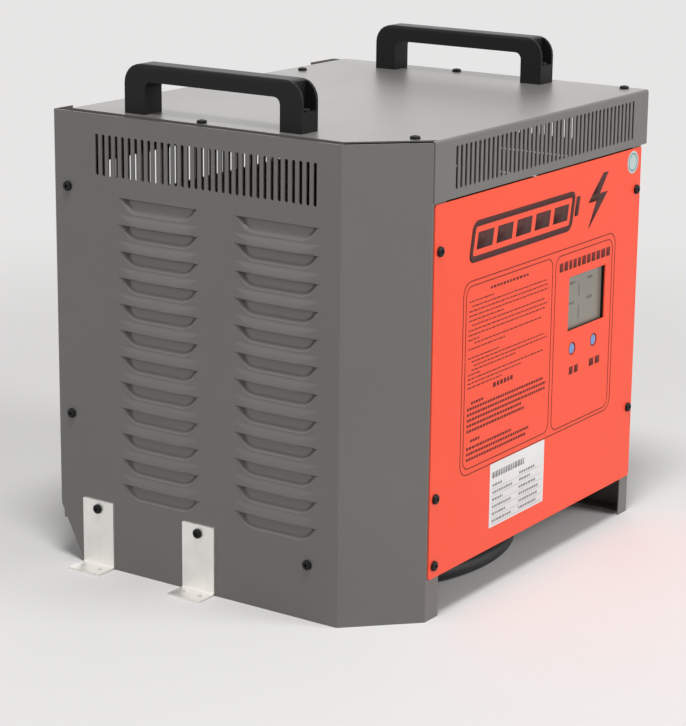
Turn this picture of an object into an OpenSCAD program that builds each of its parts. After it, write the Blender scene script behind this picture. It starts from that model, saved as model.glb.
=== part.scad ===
// Forklift battery charger: a folded sheet cabinet on floor brackets, with a vented top cover,
// an operating panel with a display and two push buttons, and the power parts inside.
// Millimetres. +Z up, the operating panel faces -Y, and the origin is the middle of the footprint.

/* [Cabinet] */
// Width of the cabinet over its side panels
body_w = 540; // [500:1:580]
// Depth of the cabinet over its front and rear folds
body_d = 455; // [440:1:480]
// Height of the side panels
body_h = 520; // [510:1:560]
// Thickness of the sheet steel
sheet = 1.5; // [1.2:0.1:2]
// Inner radius of the folds
bend_r = 1.5; // [1:0.1:2.5]
// Leg of the large chamfer at the front left corner
corner_cut = 68; // [55:1:75]
// Leg of the small chamfer at the front right corner
right_cut = 11; // [8:1:18]
// Height of the front panel's lower edge above the floor
floor_gap = 47; // [46:1:55]
// Width of the front return fold of the left panel
front_fold_left = 25; // [20:1:30]
// Width of the front return fold of the right panel
front_fold_right = 21; // [20:1:30]
// Width of the rear fold of the left panel
rear_fold_left = 32; // [24:1:40]
// Width of the rear fold of the right panel
rear_fold_right = 50; // [30:1:55]
// Width of the folds along the floor
floor_fold = 20; // [15:1:25]
// Height of the cut at the lower rear corner of the left panel
rear_cut_h = 68; // [50:1:70]
// Depth of the cut at the lower rear corner of the left panel
rear_cut_d = 35; // [25:1:38]
// Drop of the shelf that carries the cover, below the top of the side panels
shelf_drop = 10; // [8:1:14]
// Width of the shelf on the left panel
shelf_w = 32; // [28:1:40]
// Width of the shelf on the rear panel
rear_shelf_w = 60; // [52:1:70]

/* [Top cover] */
// Height of the vented front strip
strip_h = 63; // [58:1:70]
// Distance of the cover's left edge from the left panel's outer face
cover_inset = 9; // [6:0.5:11]
// Distance of the cover's rear edge from the rear of the cabinet
cover_back = 17; // [12:1:22]
// Distance of the cover screws from the outer face of the side panels
cover_screw_in = 16; // [15:0.5:18]
// Distance of the rear cover screws from the rear of the cabinet
cover_screw_back = 41; // [34:1:46]

/* [Vents] */
// Width of a vent slot
slot_w = 4.2; // [2.5:0.1:5]
// Length of a vent slot
slot_l = 46; // [36:1:48]
// Distance between neighbouring vent slots
slot_pitch = 9.1; // [7:0.1:9.5]
// Number of vent slots in each side panel
side_slots = 33; // [10:1:34]
// Number of vent slots in the front strip
front_slots = 44; // [10:1:46]
// Number of vent slots in the rear panel
rear_slots = 40; // [10:1:46]
// Distance of the vent slots from the top of the cabinet
slot_drop = 21.5; // [18:0.5:26]
// Distance of the middle of the side vents from the rear of the cabinet
vent_back = 208; // [200:1:214]
// Length of a pressed louver
louver_l = 110; // [90:1:115]
// Height of a pressed louver
louver_h = 17; // [14:0.5:22]
// Depth that a louver is pressed inwards
louver_d = 7; // [5:0.5:10]
// Height that the strip between two louvers stands out at the cut
louver_lip = 2; // [0.5:0.1:2.5]
// Number of louvers in a column
louver_rows = 12; // [4:1:12]
// Distance between the two louver columns
louver_columns = 158; // [140:1:165]
// Distance of the uppermost louver from the top of the cabinet
louver_drop = 89; // [84:1:95]

/* [Front panel] */
// Gap between the front panel and the front strip
panel_gap = 2; // [1:0.5:4]
// Distance of the front panel from the folds beside it
panel_side = 3; // [1:0.5:5]
// Width of the display window
window_w = 87; // [70:1:95]
// Height of the display window
window_h = 64; // [50:1:75]
// Distance of the window's middle from the panel's right edge
window_right = 123; // [115:1:140]
// Distance of the window's middle from the panel's upper edge
window_drop = 161; // [140:1:175]
// Depth of the display glass behind the panel's face
glass_depth = 5; // [4:0.5:8]
// Diameter of a push button
button_d = 12.5; // [8:0.5:14]
// Distance between the two push buttons
button_pitch = 51; // [40:1:60]
// Distance of the buttons below the window's middle
button_drop = 54; // [50:1:60]
// Distance of the middle of the buttons left of the window's middle
button_left = 6; // [0:1:8]
// Travel of a push button
button_travel = 2; // [1:0.25:2.5]
// Gap round a push button
button_gap = 0.6; // [0.3:0.1:0.8]

/* [Handles] */
// Length of a carrying handle
handle_l = 236; // [200:1:250]
// Height of a carrying handle
handle_h = 55; // [45:1:65]
// Width of a carrying handle
handle_w = 29; // [24:1:32]
// Thickness of the grip bar
grip_t = 19; // [16:0.5:22]
// Length of a handle's leg
leg_l = 28; // [24:1:34]
// Distance of a handle's middle from the outer face of its side panel
handle_in = 34; // [34:1:44]
// Distance of the left handle's middle from the rear
left_handle_back = 204.5; // [190:0.5:225]
// Distance of the right handle's middle from the rear
right_handle_back = 217; // [190:0.5:225]
// Width of the screw slot in a leg's end
leg_slot_w = 22; // [16:0.5:23]
// Depth of the screw slot in a leg's end
leg_slot_l = 13; // [12:0.5:16]

/* [Floor brackets] */
// Width of a floor bracket
bracket_w = 44; // [36:1:50]
// Height of a floor bracket
bracket_h = 79; // [72:1:90]
// Length of a bracket's foot
foot_l = 29; // [28:1:45]
// Thickness of a bracket
bracket_t = 2.5; // [2:0.1:3]
// Radius of a hole in a bracket's foot
foot_hole_r = 2.75; // [2:0.05:3.5]
// Distance between the two holes in a foot
foot_hole_pitch = 24; // [18:1:28]
// Distance of the rear bracket from the rear of the cabinet
bracket_back = 58; // [50:1:62]
// Distance between the two brackets
bracket_pitch = 143; // [100:1:160]

/* [Charging cable] */
// Diameter of the charging cable
cable_d = 20; // [18:0.5:20]
// Length of a cable gland outside the rear panel
gland_l = 32; // [28:1:40]
// Height of the cable glands above the base plate's upturned edge
gland_rise = 22; // [21:1:28]

/* [Fasteners] */
// Shank diameter of the case screws
screw_d = 5; // [4:0.1:6]
// Head diameter of the case screws
head_d = 11; // [9:0.1:12]
// Head height of the case screws
head_h = 3.6; // [2:0.1:4]
// Clearance of a screw in its hole, on the diameter
screw_gap = 0.4; // [0.3:0.05:0.6]

/* [Power parts] */
// Thickness of the base plate
base_t = 2; // [1.5:0.1:3]
// Height of the base plate's upturned edges
base_edge = 30; // [26:1:34]
// Width of a limb of the transformer core
limb_w = 46; // [40:1:50]
// Clear width of a window of the core
core_window_w = 44; // [40:1:48]
// Clear height of a window of the core
core_window_h = 140; // [120:1:160]
// Thickness of the core stack
core_stack = 80; // [60:1:90]
// Thickness of the coil winding round a limb
coil_t = 20; // [14:1:21]
// Width of the heat sink
sink_w = 150; // [120:1:170]
// Height of the heat sink
sink_h = 180; // [150:1:220]
// Depth of the heat sink over its fins
sink_d = 60; // [45:1:65]
// Number of fins
fins = 14; // [8:1:16]
// Diameter of the internal power leads
lead_d = 12; // [8:0.5:14]

/* [Hidden] */
$fn = 32;

// Cuts run this far past the faces they open
over = 1;
// Hollows that open on a face start this far outside it
sliver = 0.01;

// Outer faces of the cabinet, with the origin in the middle of the footprint
x_left = foot_l - (foot_l + body_w + head_h) / 2;
x_right = x_left + body_w;
gland_reach = gland_l - sheet;
y_front = head_h - (head_h + body_d + gland_reach) / 2;
y_rear = y_front + body_d;
x_bend = x_left + corner_cut;
y_fold = y_front + sheet;
y_back = y_rear - sheet;
z_cover = body_h + sheet;
z_shelf = body_h - shelf_drop;

// Base plate
base_under = floor_gap + 1;
base_top = base_under + base_t;

// Front panel
panel_left = x_bend + panel_side;
panel_right = x_right - right_cut - panel_side / 2;
panel_top = body_h - strip_h - panel_gap;
panel_corner = 3;
window_x = panel_right - window_right;
window_z = panel_top - window_drop;
button_z = window_z - button_drop;
button_xs = [for (side = [-1, 1]) window_x - button_left + side * button_pitch / 2];

// Vents of the front strip: right of its middle, and below its top
strip_vent_right = 3;
strip_vent_drop = 8;

// Case screws, and their places: on the cover [x, y], on the sides [y, z], on the front [x, z]
case_screw_l = 8;
side_screw_back = 20;
cover_screw_mid = 195;
cover_screw_front = 25;
cover_rear_in = 125;
cover_right_in = 12;
cover_corner_in = 3;
cover_screw_ys = [y_rear - cover_screw_mid, y_fold + cover_screw_front];
cover_left_screws = [
    [x_left + cover_screw_in, cover_screw_ys[0]],
    [x_bend + cover_corner_in, cover_screw_ys[1]],
];
cover_right_screws = [for (y = cover_screw_ys) [x_right - cover_right_in, y]];
cover_rear_screws = [
    for (x = [x_left + cover_rear_in, x_right - cover_rear_in]) [x, y_rear - cover_screw_back]
];
side_screw_drops = [84, 345];
side_screw_front = 38.5;
side_screws = concat(
    [for (drop = side_screw_drops) [y_rear - side_screw_back, body_h - drop]],
    [[y_fold + corner_cut + side_screw_front, base_under + base_edge / 2]]
);
front_screw_in = 10;
front_screw_drops = [50, 319];
front_screw_up = 14;
front_screw_zs = [for (drop = front_screw_drops) panel_top - drop, floor_gap + front_screw_up];
front_screws = concat(
    [for (z = front_screw_zs) [panel_left + front_screw_in, z]],
    [for (i = [0, 1]) [panel_right - front_screw_in, front_screw_zs[i]]]
);

// Floor brackets
bracket_ys = [for (i = [0, 1]) y_rear - bracket_back - i * bracket_pitch];
bracket_screw_z = base_under + base_edge * 0.7;

// Carrying handles
handle_places = [
    [x_left + handle_in, y_rear - left_handle_back], [x_right - handle_in, y_rear - right_handle_back],
];
leg_screw_z = handle_h * 0.4;
leg_screw_out = handle_l / 2 - leg_slot_l / 2;
leg_screws = [for (at = handle_places, side = [-1, 1]) at + [0, side * leg_screw_out]];

// Display and buttons, measured inwards from the panel's face
glass_t = 2;
frame_wall = 3;
board_gap = 16;
board_t = 1.6;
button_flange = 1.5;
button_dome = 0.6;
button_in = 0.6;
stem_d = 4;
stem_gap = 0.3;
switch_l = 5;
y_board = y_fold + board_gap;

// Power parts
core_w = 3 * limb_w + 2 * core_window_w;
core_h = core_window_h + 2 * limb_w;
core_in = 210;
core_back = 150;
core_x = x_left + core_in;
core_y = y_rear - core_back;
coil_fit = 0.5;
clamp_t = 4;
clamp_leg = 34;
part_gap = 8;
choke_limb = 36;
choke_window = 30;
choke_stack = 50;
choke_h = 120;
choke_coil_t = choke_window / 2 - 2;
choke_half = choke_limb + choke_window / 2 + choke_coil_t + coil_fit / 2;
choke_in = 105;
choke_x = x_left + choke_in;
choke_y = core_y - core_stack / 2 - clamp_leg - part_gap - choke_half;
sink_base = 10;
sink_in = 95;
sink_back = 160;
sink_x = x_right - sink_in;
sink_y = y_rear - sink_back;
contactor_in = 120;
contactor_front = 90;
contactor_x = x_right - contactor_in;
contactor_y = y_front + contactor_front;
terminal_in = 70;
terminal_back = 45;
terminal_x = x_right - terminal_in;
terminal_y = y_rear - terminal_back;
fuse_in = 210;
fuse_front = 110;
fuse_x = x_right - fuse_in;
fuse_y = y_front + fuse_front;
dc_in = 185;
dc_x = x_right - dc_in;
mains_in = 95;
mains_x = x_right - mains_in;
gland_z = base_under + base_edge + gland_rise;
gland_end = y_back + gland_l;

// Charging cable: the route from the gland, points chosen by hand
cable_r = cable_d / 2;
crossing_z = 1.5 * cable_d - 0.2;
cable_route = [
    [dc_x, gland_end + 0.05, gland_z], [dc_x, gland_end + 22, gland_z], [97, 295, 94],
    [82, 335, 76], [45, 365, 50], [-5, 372, 26], [-60, 355, 12], [-102, 315, 10],
    [-127, 260, 10], [-138, 200, 10], [-143, 140, 10], [-147, 80, 10], [-150, 20, 10],
    [-147, -40, 10], [-137, -95, 10], [-115, -145, 10], [-78, -180, 10], [-35, -194, 10],
    [8, -197, 10], [49, -191, 10], [88, -176, 10], [120, -150, 10], [141, -114, 10],
    [151, -73, 10], [155, -30, 10], [155, 10, 10],
];
tail_route = [
    [66, -89, crossing_z], [100, -76, crossing_z], [135, -62, crossing_z],
    [165, -48, crossing_z], [192, -28, 26],
    [212, 2, 18], [222, 38, 14], [225, 70, 13.5], [225, 90, 13.5],
];
coil_at = [30, 10];
coil_r = 115;
outer_turn_end = 290;
tube_sides = 10;
plug_l = 84;
plug_w = 56;
plug_h = 27;
plug_end = tail_route[len(tail_route) - 1];

// Outlines

function unit(v) = v / norm(v);
function normal(v) = [-v.y, v.x];
function turned(v, a) = [v.x * cos(a) - v.y * sin(a), v.x * sin(a) + v.y * cos(a)];
function turn_of(a, b) = atan2(a.x * b.y - a.y * b.x, a * b);

// Arc of one face at fold i of a sheet that lies left of its path: face 0 is the path's own
function fold_arc(path, i, t, r, face, steps = 4) =
    let (
        before = unit(path[i] - path[i - 1]),
        after = unit(path[i + 1] - path[i]),
        turn = turn_of(before, after),
        way = sign(turn),
        near = way > 0 ? r + t : r,
        reach = (normal(before) + normal(after)) / (1 + before * after),
        centre = path[i] + way * near * reach,
        radius = (way > 0) == (face == 0) ? r + t : r
    )
    [for (k = [0:steps]) centre - way * radius * turned(normal(before), turn * k / steps)];

// Outline of a folded sheet of thickness t that lies left of its path
function folded(path, t, r) =
    let (
        last = len(path) - 1,
        first_side = t * normal(unit(path[1] - path[0])),
        last_side = t * normal(unit(path[last] - path[last - 1]))
    )
    concat(
        [path[0]],
        [for (i = [1:1:last - 1]) each fold_arc(path, i, t, r, 0)],
        [path[last], path[last] + last_side],
        [for (i = [last - 1:-1:1]) let (arc = fold_arc(path, i, t, r, 1)) each
            [for (k = [len(arc) - 1:-1:0]) arc[k]]],
        [path[0] + first_side]
    );

// Arc that rounds corner q between its neighbours p and s
function corner_arc(p, q, s, r, steps) =
    let (
        to_p = unit(p - q),
        to_s = unit(s - q),
        half = acos(to_p * to_s) / 2,
        centre = q + unit(to_p + to_s) * r / sin(half),
        start = q + to_p * r / tan(half) - centre,
        sweep = turn_of(start, q + to_s * r / tan(half) - centre)
    )
    r == 0 ? [q] : [for (k = [0:steps]) centre + turned(start, sweep * k / steps)];

// Outline with each corner rounded by its own radius
function rounded(points, radii, steps = 6) =
    let (n = len(points))
    [for (i = [0:n - 1]) each
        corner_arc(points[(i + n - 1) % n], points[i], points[(i + 1) % n], radii[i], steps)];

module block(low, high) {
    translate(low)
        cube(high - low);
}

// Plates and cuts drawn in the YZ plane, from x0 to x1
module along_x(x0, x1) {
    translate([x0, 0, 0])
        rotate([90, 0, 90])
            linear_extrude(height = x1 - x0)
                children();
}

// Plates and cuts drawn in the XZ plane, from y0 to y1
module along_y(y0, y1) {
    translate([0, y1, 0])
        rotate([90, 0, 0])
            linear_extrude(height = y1 - y0)
                children();
}

module along_z(z0, z1) {
    translate([0, 0, z0])
        linear_extrude(height = z1 - z0)
            children();
}

// Row of upright slots with round ends, centred on x, from z up
module slot_row(count, x, z) {
    for (i = [0:count - 1])
        translate([x + (i - (count - 1) / 2) * slot_pitch, z]) {
            translate([-slot_w / 2, slot_w / 2])
                square([slot_w, slot_l - slot_w]);
            for (end = [slot_w / 2, slot_l - slot_w / 2])
                translate([0, end])
                    circle(d = slot_w, $fn = 16);
        }
}

// Pan head screw with a hexagon socket: the head stands on z = 0, the shank points down
module screw(length) {
    socket_d = head_d * 0.36;
    translate([0, 0, -length])
        cylinder(d = screw_d, h = length);
    difference() {
        rotate_extrude()
            polygon(concat(
                [[0, 0], [head_d / 2, 0]],
                [for (a = [20:14:90]) [head_d / 2 * cos(a - 20), head_h * (0.3 + 0.7 * sin(a))]],
                [[0, head_h]]
            ));
        translate([0, 0, head_h * 0.45])
            cylinder(d = socket_d, h = head_h, $fn = 6);
    }
}

module screw_hole() {
    circle(d = screw_d + screw_gap, $fn = 24);
}

// Louvers: a straight cut along the top, and the sheet below it pressed inwards like a scoop.
// Drawn with the outer face of the sheet at x = 0, inwards along +X, the cut at z = 0

louver_shift = 18;
louver_foot = 10;
louver_top = body_h - louver_drop;
louver_low = base_under + base_edge + louver_h + louver_foot;
louver_pitch = (louver_top - louver_low) / (louver_rows - 1);
// Outline: the sides come in towards the lower corners
louver_taper = 13;
louver_corner = 20;
// Depth: a sloping rim along the foot, and a steep wall and a run at each end
louver_rim = 2.5;
louver_wall = 0.7;
louver_wall_in = 3;
louver_run = 10;

function louver_outline(grow) =
    let (half = louver_l / 2 + grow, low = louver_h + grow)
    rounded(
        [[-half, over], [-half, 0], [louver_taper - half, -low], [half - louver_taper, -low],
            [half, 0], [half, over]],
        [0, 0, louver_corner + grow, louver_corner + grow, 0, 0], 5
    );

// Depth of the hollow over its height, or with grow that of the sheet's back, as [x, z]
function louver_profile(grow, top) =
    let (
        slope = (louver_d - louver_rim) / (louver_h - louver_rim),
        foot = grow > 0 ? [[grow * 0.7, -louver_h - grow * 0.7]] : []
    )
    concat(
        [[0, -louver_h - grow]], foot,
        [[louver_rim + grow, louver_rim - louver_h - grow * 0.4], [louver_d + grow + slope * top, top],
            [0, top]]
    );

// Hollow in front of the pressed sheet, or with grow the hollow and the sheet behind it
module louver_scoop(grow, top) {
    deep = louver_d + grow;
    half = louver_l / 2 + grow;
    intersection() {
        along_x(0, deep + over)
            polygon(louver_outline(grow));
        translate([0, half + over, 0])
            rotate([90, 0, 0])
                linear_extrude(height = 2 * (half + over))
                    polygon(louver_profile(grow, top));
        along_z(-louver_h - grow, top)
            polygon([[0, -half], [deep * louver_wall, louver_wall_in - half], [deep, louver_run - half],
                [deep, half - louver_run], [deep * louver_wall, half - louver_wall_in], [0, half]]);
    }
}

// Strip of sheet above a cut: its free edge stands out a little between its two ends
module louver_strip() {
    half = louver_l / 2;
    end = louver_l / 4;
    rise = louver_pitch - louver_h - sheet;
    intersection() {
        translate([0, half, 0])
            rotate([90, 0, 0])
                linear_extrude(height = louver_l)
                    polygon([[sheet / 2, 0], [-louver_lip, 0], [0, rise], [sheet / 2, rise]]);
        along_z(0, rise)
            polygon([[sheet / 2, -half], [0, -half], [-louver_lip, end - half], [-louver_lip, half - end],
                [0, half], [sheet / 2, half]]);
    }
}

module louver() {
    difference() {
        louver_scoop(sheet, 0);
        translate([-sliver, 0, 0])
            louver_scoop(0, over);
    }
}

// Places of the louvers: the middle of each cut, as [y, z]
louver_places = [
    for (side = [-1, 1], row = [0:louver_rows - 1])
        [y_rear - vent_back - louver_shift + side * louver_columns / 2,
            louver_top - row * louver_pitch]
];

// Openings that both side panels share, cut through the wall between x0 and x1
module side_openings(x0, x1) {
    along_x(x0, x1) {
        slot_row(side_slots, y_rear - vent_back, body_h - slot_drop - slot_l);
        for (at = side_screws)
            translate(at)
                screw_hole();
        for (at = louver_places)
            translate(at)
                difference() {
                    polygon(louver_outline(0));
                    translate([-louver_l, 0])
                        square([2 * louver_l, 2 * over]);
                }
    }
}

// Cabinet sheets

paint = [0.40, 0.39, 0.38];

module left_side_panel() {
    wall = [
        [x_left + rear_fold_left, y_rear], [x_left, y_rear], [x_left, y_fold + corner_cut],
        [x_bend, y_fold], [x_bend + front_fold_left, y_fold],
    ];
    color(paint) {
        difference() {
            union() {
                along_z(0, body_h)
                    polygon(folded(wall, sheet, bend_r));
                along_z(z_shelf - sheet, z_shelf)
                    shelf_outline(shelf_w);
                along_z(0, sheet)
                    difference() {
                        shelf_outline(floor_fold);
                        translate([x_left, y_rear - rear_cut_d - sheet])
                            square([body_w, rear_cut_d + 2 * sheet]);
                    }
            }
            side_openings(x_left - over, x_left + sheet + over);
            along_x(x_left - over, x_left + rear_fold_left + over)
                polygon([[y_rear + over, rear_cut_h + over], [y_rear + over, -over],
                    [y_rear - rear_cut_d, -over], [y_rear - rear_cut_d, 0], [y_rear, rear_cut_h]]);
            along_z(z_shelf - sheet - over, z_shelf + over)
                for (at = cover_left_screws)
                    translate(at)
                        screw_hole();
            along_x(x_left - over, x_left + sheet + over)
                for (y = bracket_ys)
                    translate([y, bracket_screw_z])
                        screw_hole();
            along_y(y_fold - over, y_fold + sheet + over)
                for (i = [0:2])
                    translate(front_screws[i])
                        screw_hole();
            block([x_bend, y_fold - over, body_h - bend_r],
                [x_bend + front_fold_left + over, y_fold + sheet + bend_r, body_h + over]);
        }
        for (at = louver_places)
            translate([x_left, at.x, at.y]) {
                louver();
                if (at.y < louver_top - sliver)
                    louver_strip();
            }
    }
}

// Band of width w inside the left wall and the large chamfer
module shelf_outline(w) {
    slant = w * sqrt(2);
    reach = min(front_fold_left, w);
    rear = y_rear - rear_cut_d;
    half_sheet = sheet / 2;
    polygon([
        [x_left + half_sheet, rear], [x_left + half_sheet, y_fold + corner_cut],
        [x_bend, y_fold + half_sheet], [x_bend + reach, y_fold + half_sheet],
        [x_bend + reach, y_fold + slant - reach],
        [x_left + w, y_fold + corner_cut + slant - w], [x_left + w, rear],
    ]);
}

module right_side_panel() {
    wall = [
        [x_right - right_cut - front_fold_right, y_fold], [x_right - right_cut, y_fold],
        [x_right, y_fold + right_cut], [x_right, y_rear], [x_right - rear_fold_right, y_rear],
    ];
    wall_front = y_fold + right_cut + bend_r;
    flange_w = cover_screw_in + 11;
    flange_end = y_rear - cover_back - sheet - bend_r - over;
    cut_right = x_right - right_cut + sheet + bend_r;
    color(paint) {
        difference() {
            union() {
                along_z(0, body_h)
                    polygon(folded(wall, sheet, bend_r));
                block([x_right - flange_w, wall_front, body_h - sheet],
                    [x_right - sheet / 2, flange_end, body_h]);
                block([x_right - floor_fold, wall_front, 0],
                    [x_right - sheet / 2, y_back - sheet, sheet]);
            }
            side_openings(x_right - sheet - over, x_right + over);
            along_z(body_h - sheet - over, body_h + over)
                for (at = cover_right_screws)
                    translate(at)
                        screw_hole();
            along_y(y_fold - over, y_fold + sheet + over)
                for (i = [3, 4])
                    translate(front_screws[i])
                        screw_hole();
            block([wall[0].x - over, y_fold - over, body_h - bend_r],
                [cut_right, y_fold + sheet + bend_r, body_h + over]);
        }
        for (at = louver_places)
            translate([x_right, at.x, at.y])
                mirror([1, 0, 0])
                    louver();
    }
}

module rear_panel() {
    left = x_left + sheet;
    right = x_right - sheet;
    fold_end = y_back - 2 * side_screw_back + 4;
    bend = sheet + bend_r;
    vent_z = panel_top - slot_l - 4;
    color(paint)
        difference() {
            union() {
                along_x(left + bend, right - bend)
                    polygon(folded([[y_back, base_under], [y_back, z_shelf],
                        [y_back - rear_shelf_w, z_shelf]], sheet, bend_r));
                along_z(base_under + base_edge + over, z_shelf - bend - over)
                    polygon(folded([[right, fold_end], [right, y_back], [left, y_back],
                        [left, fold_end]], sheet, bend_r));
            }
            block([left - over, y_rear - rear_shelf_w - 2 * over, z_shelf - sheet - over],
                [x_left + shelf_w + over, y_back - 2 * sheet, z_shelf + over]);
            along_y(y_back - sheet - over, y_back + over) {
                slot_row(rear_slots, (left + right) / 2, vent_z);
                for (x = [dc_x, mains_x])
                    translate([x, gland_z])
                        circle(d = gland_thread_d);
            }
            for (x = [left - over, right - sheet - over])
                along_x(x, x + sheet + 2 * over)
                    for (i = [0, 1])
                        translate(side_screws[i])
                            screw_hole();
            along_z(z_shelf - sheet - over, z_shelf + over)
                for (at = cover_rear_screws)
                    translate(at)
                        screw_hole();
        }
}

module top_cover() {
    left = x_left + cover_inset;
    back = y_rear - cover_back;
    behind_strip = y_front + sheet + bend_r + over;
    edge = corner_cut + cover_inset * sqrt(2);
    color(paint)
        difference() {
            union() {
                along_x(left, x_right)
                    polygon(folded([[back, z_shelf], [back, z_cover], [y_front, z_cover],
                        [y_front, body_h - strip_h]], sheet, bend_r));
                block([left, y_fold + edge - cover_inset, z_shelf],
                    [left + sheet, back - sheet, z_cover - sheet / 2]);
            }
            block([left - over, y_front - over, body_h - strip_h - over],
                [x_bend + over, behind_strip, z_cover + over]);
            along_z(body_h - strip_h - over, z_cover + over)
                polygon([[left - over, behind_strip - over],
                    [x_left + edge - (behind_strip - over - y_fold), behind_strip - over],
                    [left - over, y_fold + edge - cover_inset + over]]);
            block([x_right - sheet - over, back - sheet - bend_r - over, z_shelf - over],
                [x_right + over, back + over, body_h]);
            along_y(y_front - over, y_front + sheet + over)
                slot_row(front_slots, (x_bend + x_right) / 2 + strip_vent_right,
                    body_h - slot_l - strip_vent_drop);
            along_z(body_h - over, z_cover + over) {
                for (at = concat(cover_left_screws, cover_right_screws, cover_rear_screws))
                    translate(at)
                        screw_hole();
                for (at = leg_screws)
                    translate(at)
                        screw_hole();
            }
        }
}

module front_panel() {
    color([0.94, 0.27, 0.16])
        difference() {
            along_y(y_front, y_fold)
                polygon(rounded([[panel_left, floor_gap], [panel_right, floor_gap],
                    [panel_right, panel_top], [panel_left, panel_top]], panel_corner * [1, 1, 1, 1]));
            along_y(y_front - over, y_fold + over) {
                translate([window_x - window_w / 2, window_z - window_h / 2])
                    square([window_w, window_h]);
                for (x = button_xs)
                    translate([x, button_z])
                        circle(d = button_d + 2 * button_gap);
                for (at = front_screws)
                    translate(at)
                        screw_hole();
            }
        }
}

module base_plate() {
    left = x_left + sheet;
    right = x_right - sheet;
    rear = y_back - sheet;
    inner_cut = corner_cut + sheet * sqrt(2);
    fold_left = x_bend + front_fold_left + over;
    fold_right = x_right - right_cut - front_fold_right - over;
    color([0.62, 0.63, 0.64])
        difference() {
            union() {
                along_z(base_under, base_top)
                    polygon([
                        [left + bend_r, rear], [left, rear - bend_r], [left, y_fold + inner_cut - sheet],
                        [x_left + inner_cut - sheet, y_fold + sheet], [fold_left, y_fold + sheet],
                        [fold_left, y_fold], [fold_right, y_fold], [fold_right, y_fold + sheet],
                        [right - right_cut, y_fold + sheet], [right, y_fold + sheet + right_cut],
                        [right, rear - bend_r], [right - bend_r, rear],
                    ]);
                block([left, y_fold + inner_cut + over, base_under],
                    [left + base_t, rear - bend_r, base_under + base_edge]);
                block([right - base_t, y_fold + right_cut + 2 * sheet, base_under],
                    [right, rear - bend_r, base_under + base_edge]);
                block([fold_left, y_fold, base_under],
                    [fold_right, y_fold + base_t, base_under + base_edge]);
                block([left + bend_r, rear - base_t, base_under],
                    [right - bend_r, rear, base_under + base_edge]);
            }
            for (x = [left - over, right - base_t - over])
                along_x(x, x + base_t + 2 * over) {
                    translate(side_screws[2])
                        screw_hole();
                    if (x < 0)
                        for (y = bracket_ys)
                            translate([y, bracket_screw_z])
                                screw_hole();
                }
        }
}

// Carrying handles: a bar on two legs, with an open slot in each end for the screw

module handle(at) {
    half = handle_l / 2;
    inner = half - leg_l;
    under = handle_h - grip_t;
    bow = rounded(
        [[-half, 0], [-half, handle_h], [half, handle_h], [half, 0],
            [inner, 0], [inner, under], [-inner, under], [-inner, 0]],
        [0, 22, 22, 0, 0, 8, 8, 0]
    );
    round_w = handle_w / 2;
    edge = 4;
    color([0.13, 0.13, 0.13])
        translate([at.x, at.y, z_cover])
            difference() {
                intersection() {
                    along_x(-round_w, round_w)
                        polygon(bow);
                    along_y(-half - over, half + over)
                        polygon(rounded([[-round_w, 0], [round_w, 0], [round_w, handle_h],
                            [-round_w, handle_h]], [0, 0, edge, edge], 4));
                }
                for (side = [-1, 1]) {
                    translate([-leg_slot_w / 2, side > 0 ? half - leg_slot_l : -half - over, leg_screw_z])
                        cube([leg_slot_w, leg_slot_l + over, handle_h]);
                    translate([0, side * leg_screw_out, -over])
                        cylinder(d = screw_d + screw_gap, h = leg_screw_z + 2 * over);
                }
            }
}

module left_handle() {
    handle(handle_places[0]);
}

module right_handle() {
    handle(handle_places[1]);
}

// Fasteners

module handle_screws() {
    color([0.2, 0.2, 0.2])
        for (at = leg_screws)
            translate([at.x, at.y, z_cover + leg_screw_z])
                screw(leg_screw_z + sheet + 6);
}

module top_cover_screws() {
    color([0.12, 0.12, 0.12])
        for (at = concat(cover_left_screws, cover_right_screws, cover_rear_screws))
            translate([at.x, at.y, z_cover])
                screw(shelf_drop + 2 * sheet + 3);
}

module side_panel_screws() {
    color([0.12, 0.12, 0.12])
        for (at = side_screws) {
            translate([x_left, at.x, at.y])
                rotate([0, -90, 0])
                    screw(case_screw_l);
            translate([x_right, at.x, at.y])
                rotate([0, 90, 0])
                    screw(case_screw_l);
        }
}

module front_panel_screws() {
    color([0.12, 0.12, 0.12])
        for (at = front_screws)
            translate([at.x, y_front, at.y])
                rotate([90, 0, 0])
                    screw(case_screw_l);
}

module bracket_screws() {
    color([0.12, 0.12, 0.12])
        for (y = bracket_ys)
            translate([x_left - bracket_t, y, bracket_screw_z])
                rotate([0, -90, 0])
                    screw(case_screw_l + bracket_t);
}

module floor_bracket(y) {
    profile = [[x_left - foot_l, 0], [x_left, 0], [x_left, bracket_h]];
    half = bracket_w / 2;
    round_top = 1.5;
    color([0.84, 0.82, 0.80])
        difference() {
            intersection() {
                along_y(y - half, y + half)
                    polygon(folded(profile, bracket_t, bend_r));
                along_x(x_left - foot_l - over, x_left + over)
                    translate([y, 0])
                        polygon(rounded([[-half, 0], [half, 0], [half, bracket_h],
                            [-half, bracket_h]], [0, 0, round_top, round_top], 4));
            }
            for (side = [-1, 1])
                translate([x_left - foot_l / 2, y + side * foot_hole_pitch / 2, -over])
                    cylinder(r = foot_hole_r, h = bracket_t + 2 * over);
            along_x(x_left - bracket_t - over, x_left + over)
                translate([y, bracket_screw_z])
                    screw_hole();
        }
}

module rear_floor_bracket() {
    floor_bracket(bracket_ys[0]);
}

module middle_floor_bracket() {
    floor_bracket(bracket_ys[1]);
}

// Display, board and push buttons

board_w = window_w + 40;
board_h = window_h + 2 * button_drop - 40;
board_z = window_z - 28;
spacer_places = [
    for (sx = [-1, 1], sz = [-1, 1])
        [window_x + sx * (board_w / 2 - 6), board_z + sz * (board_h / 2 - 6)]
];
spacer_d = 7;

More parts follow.
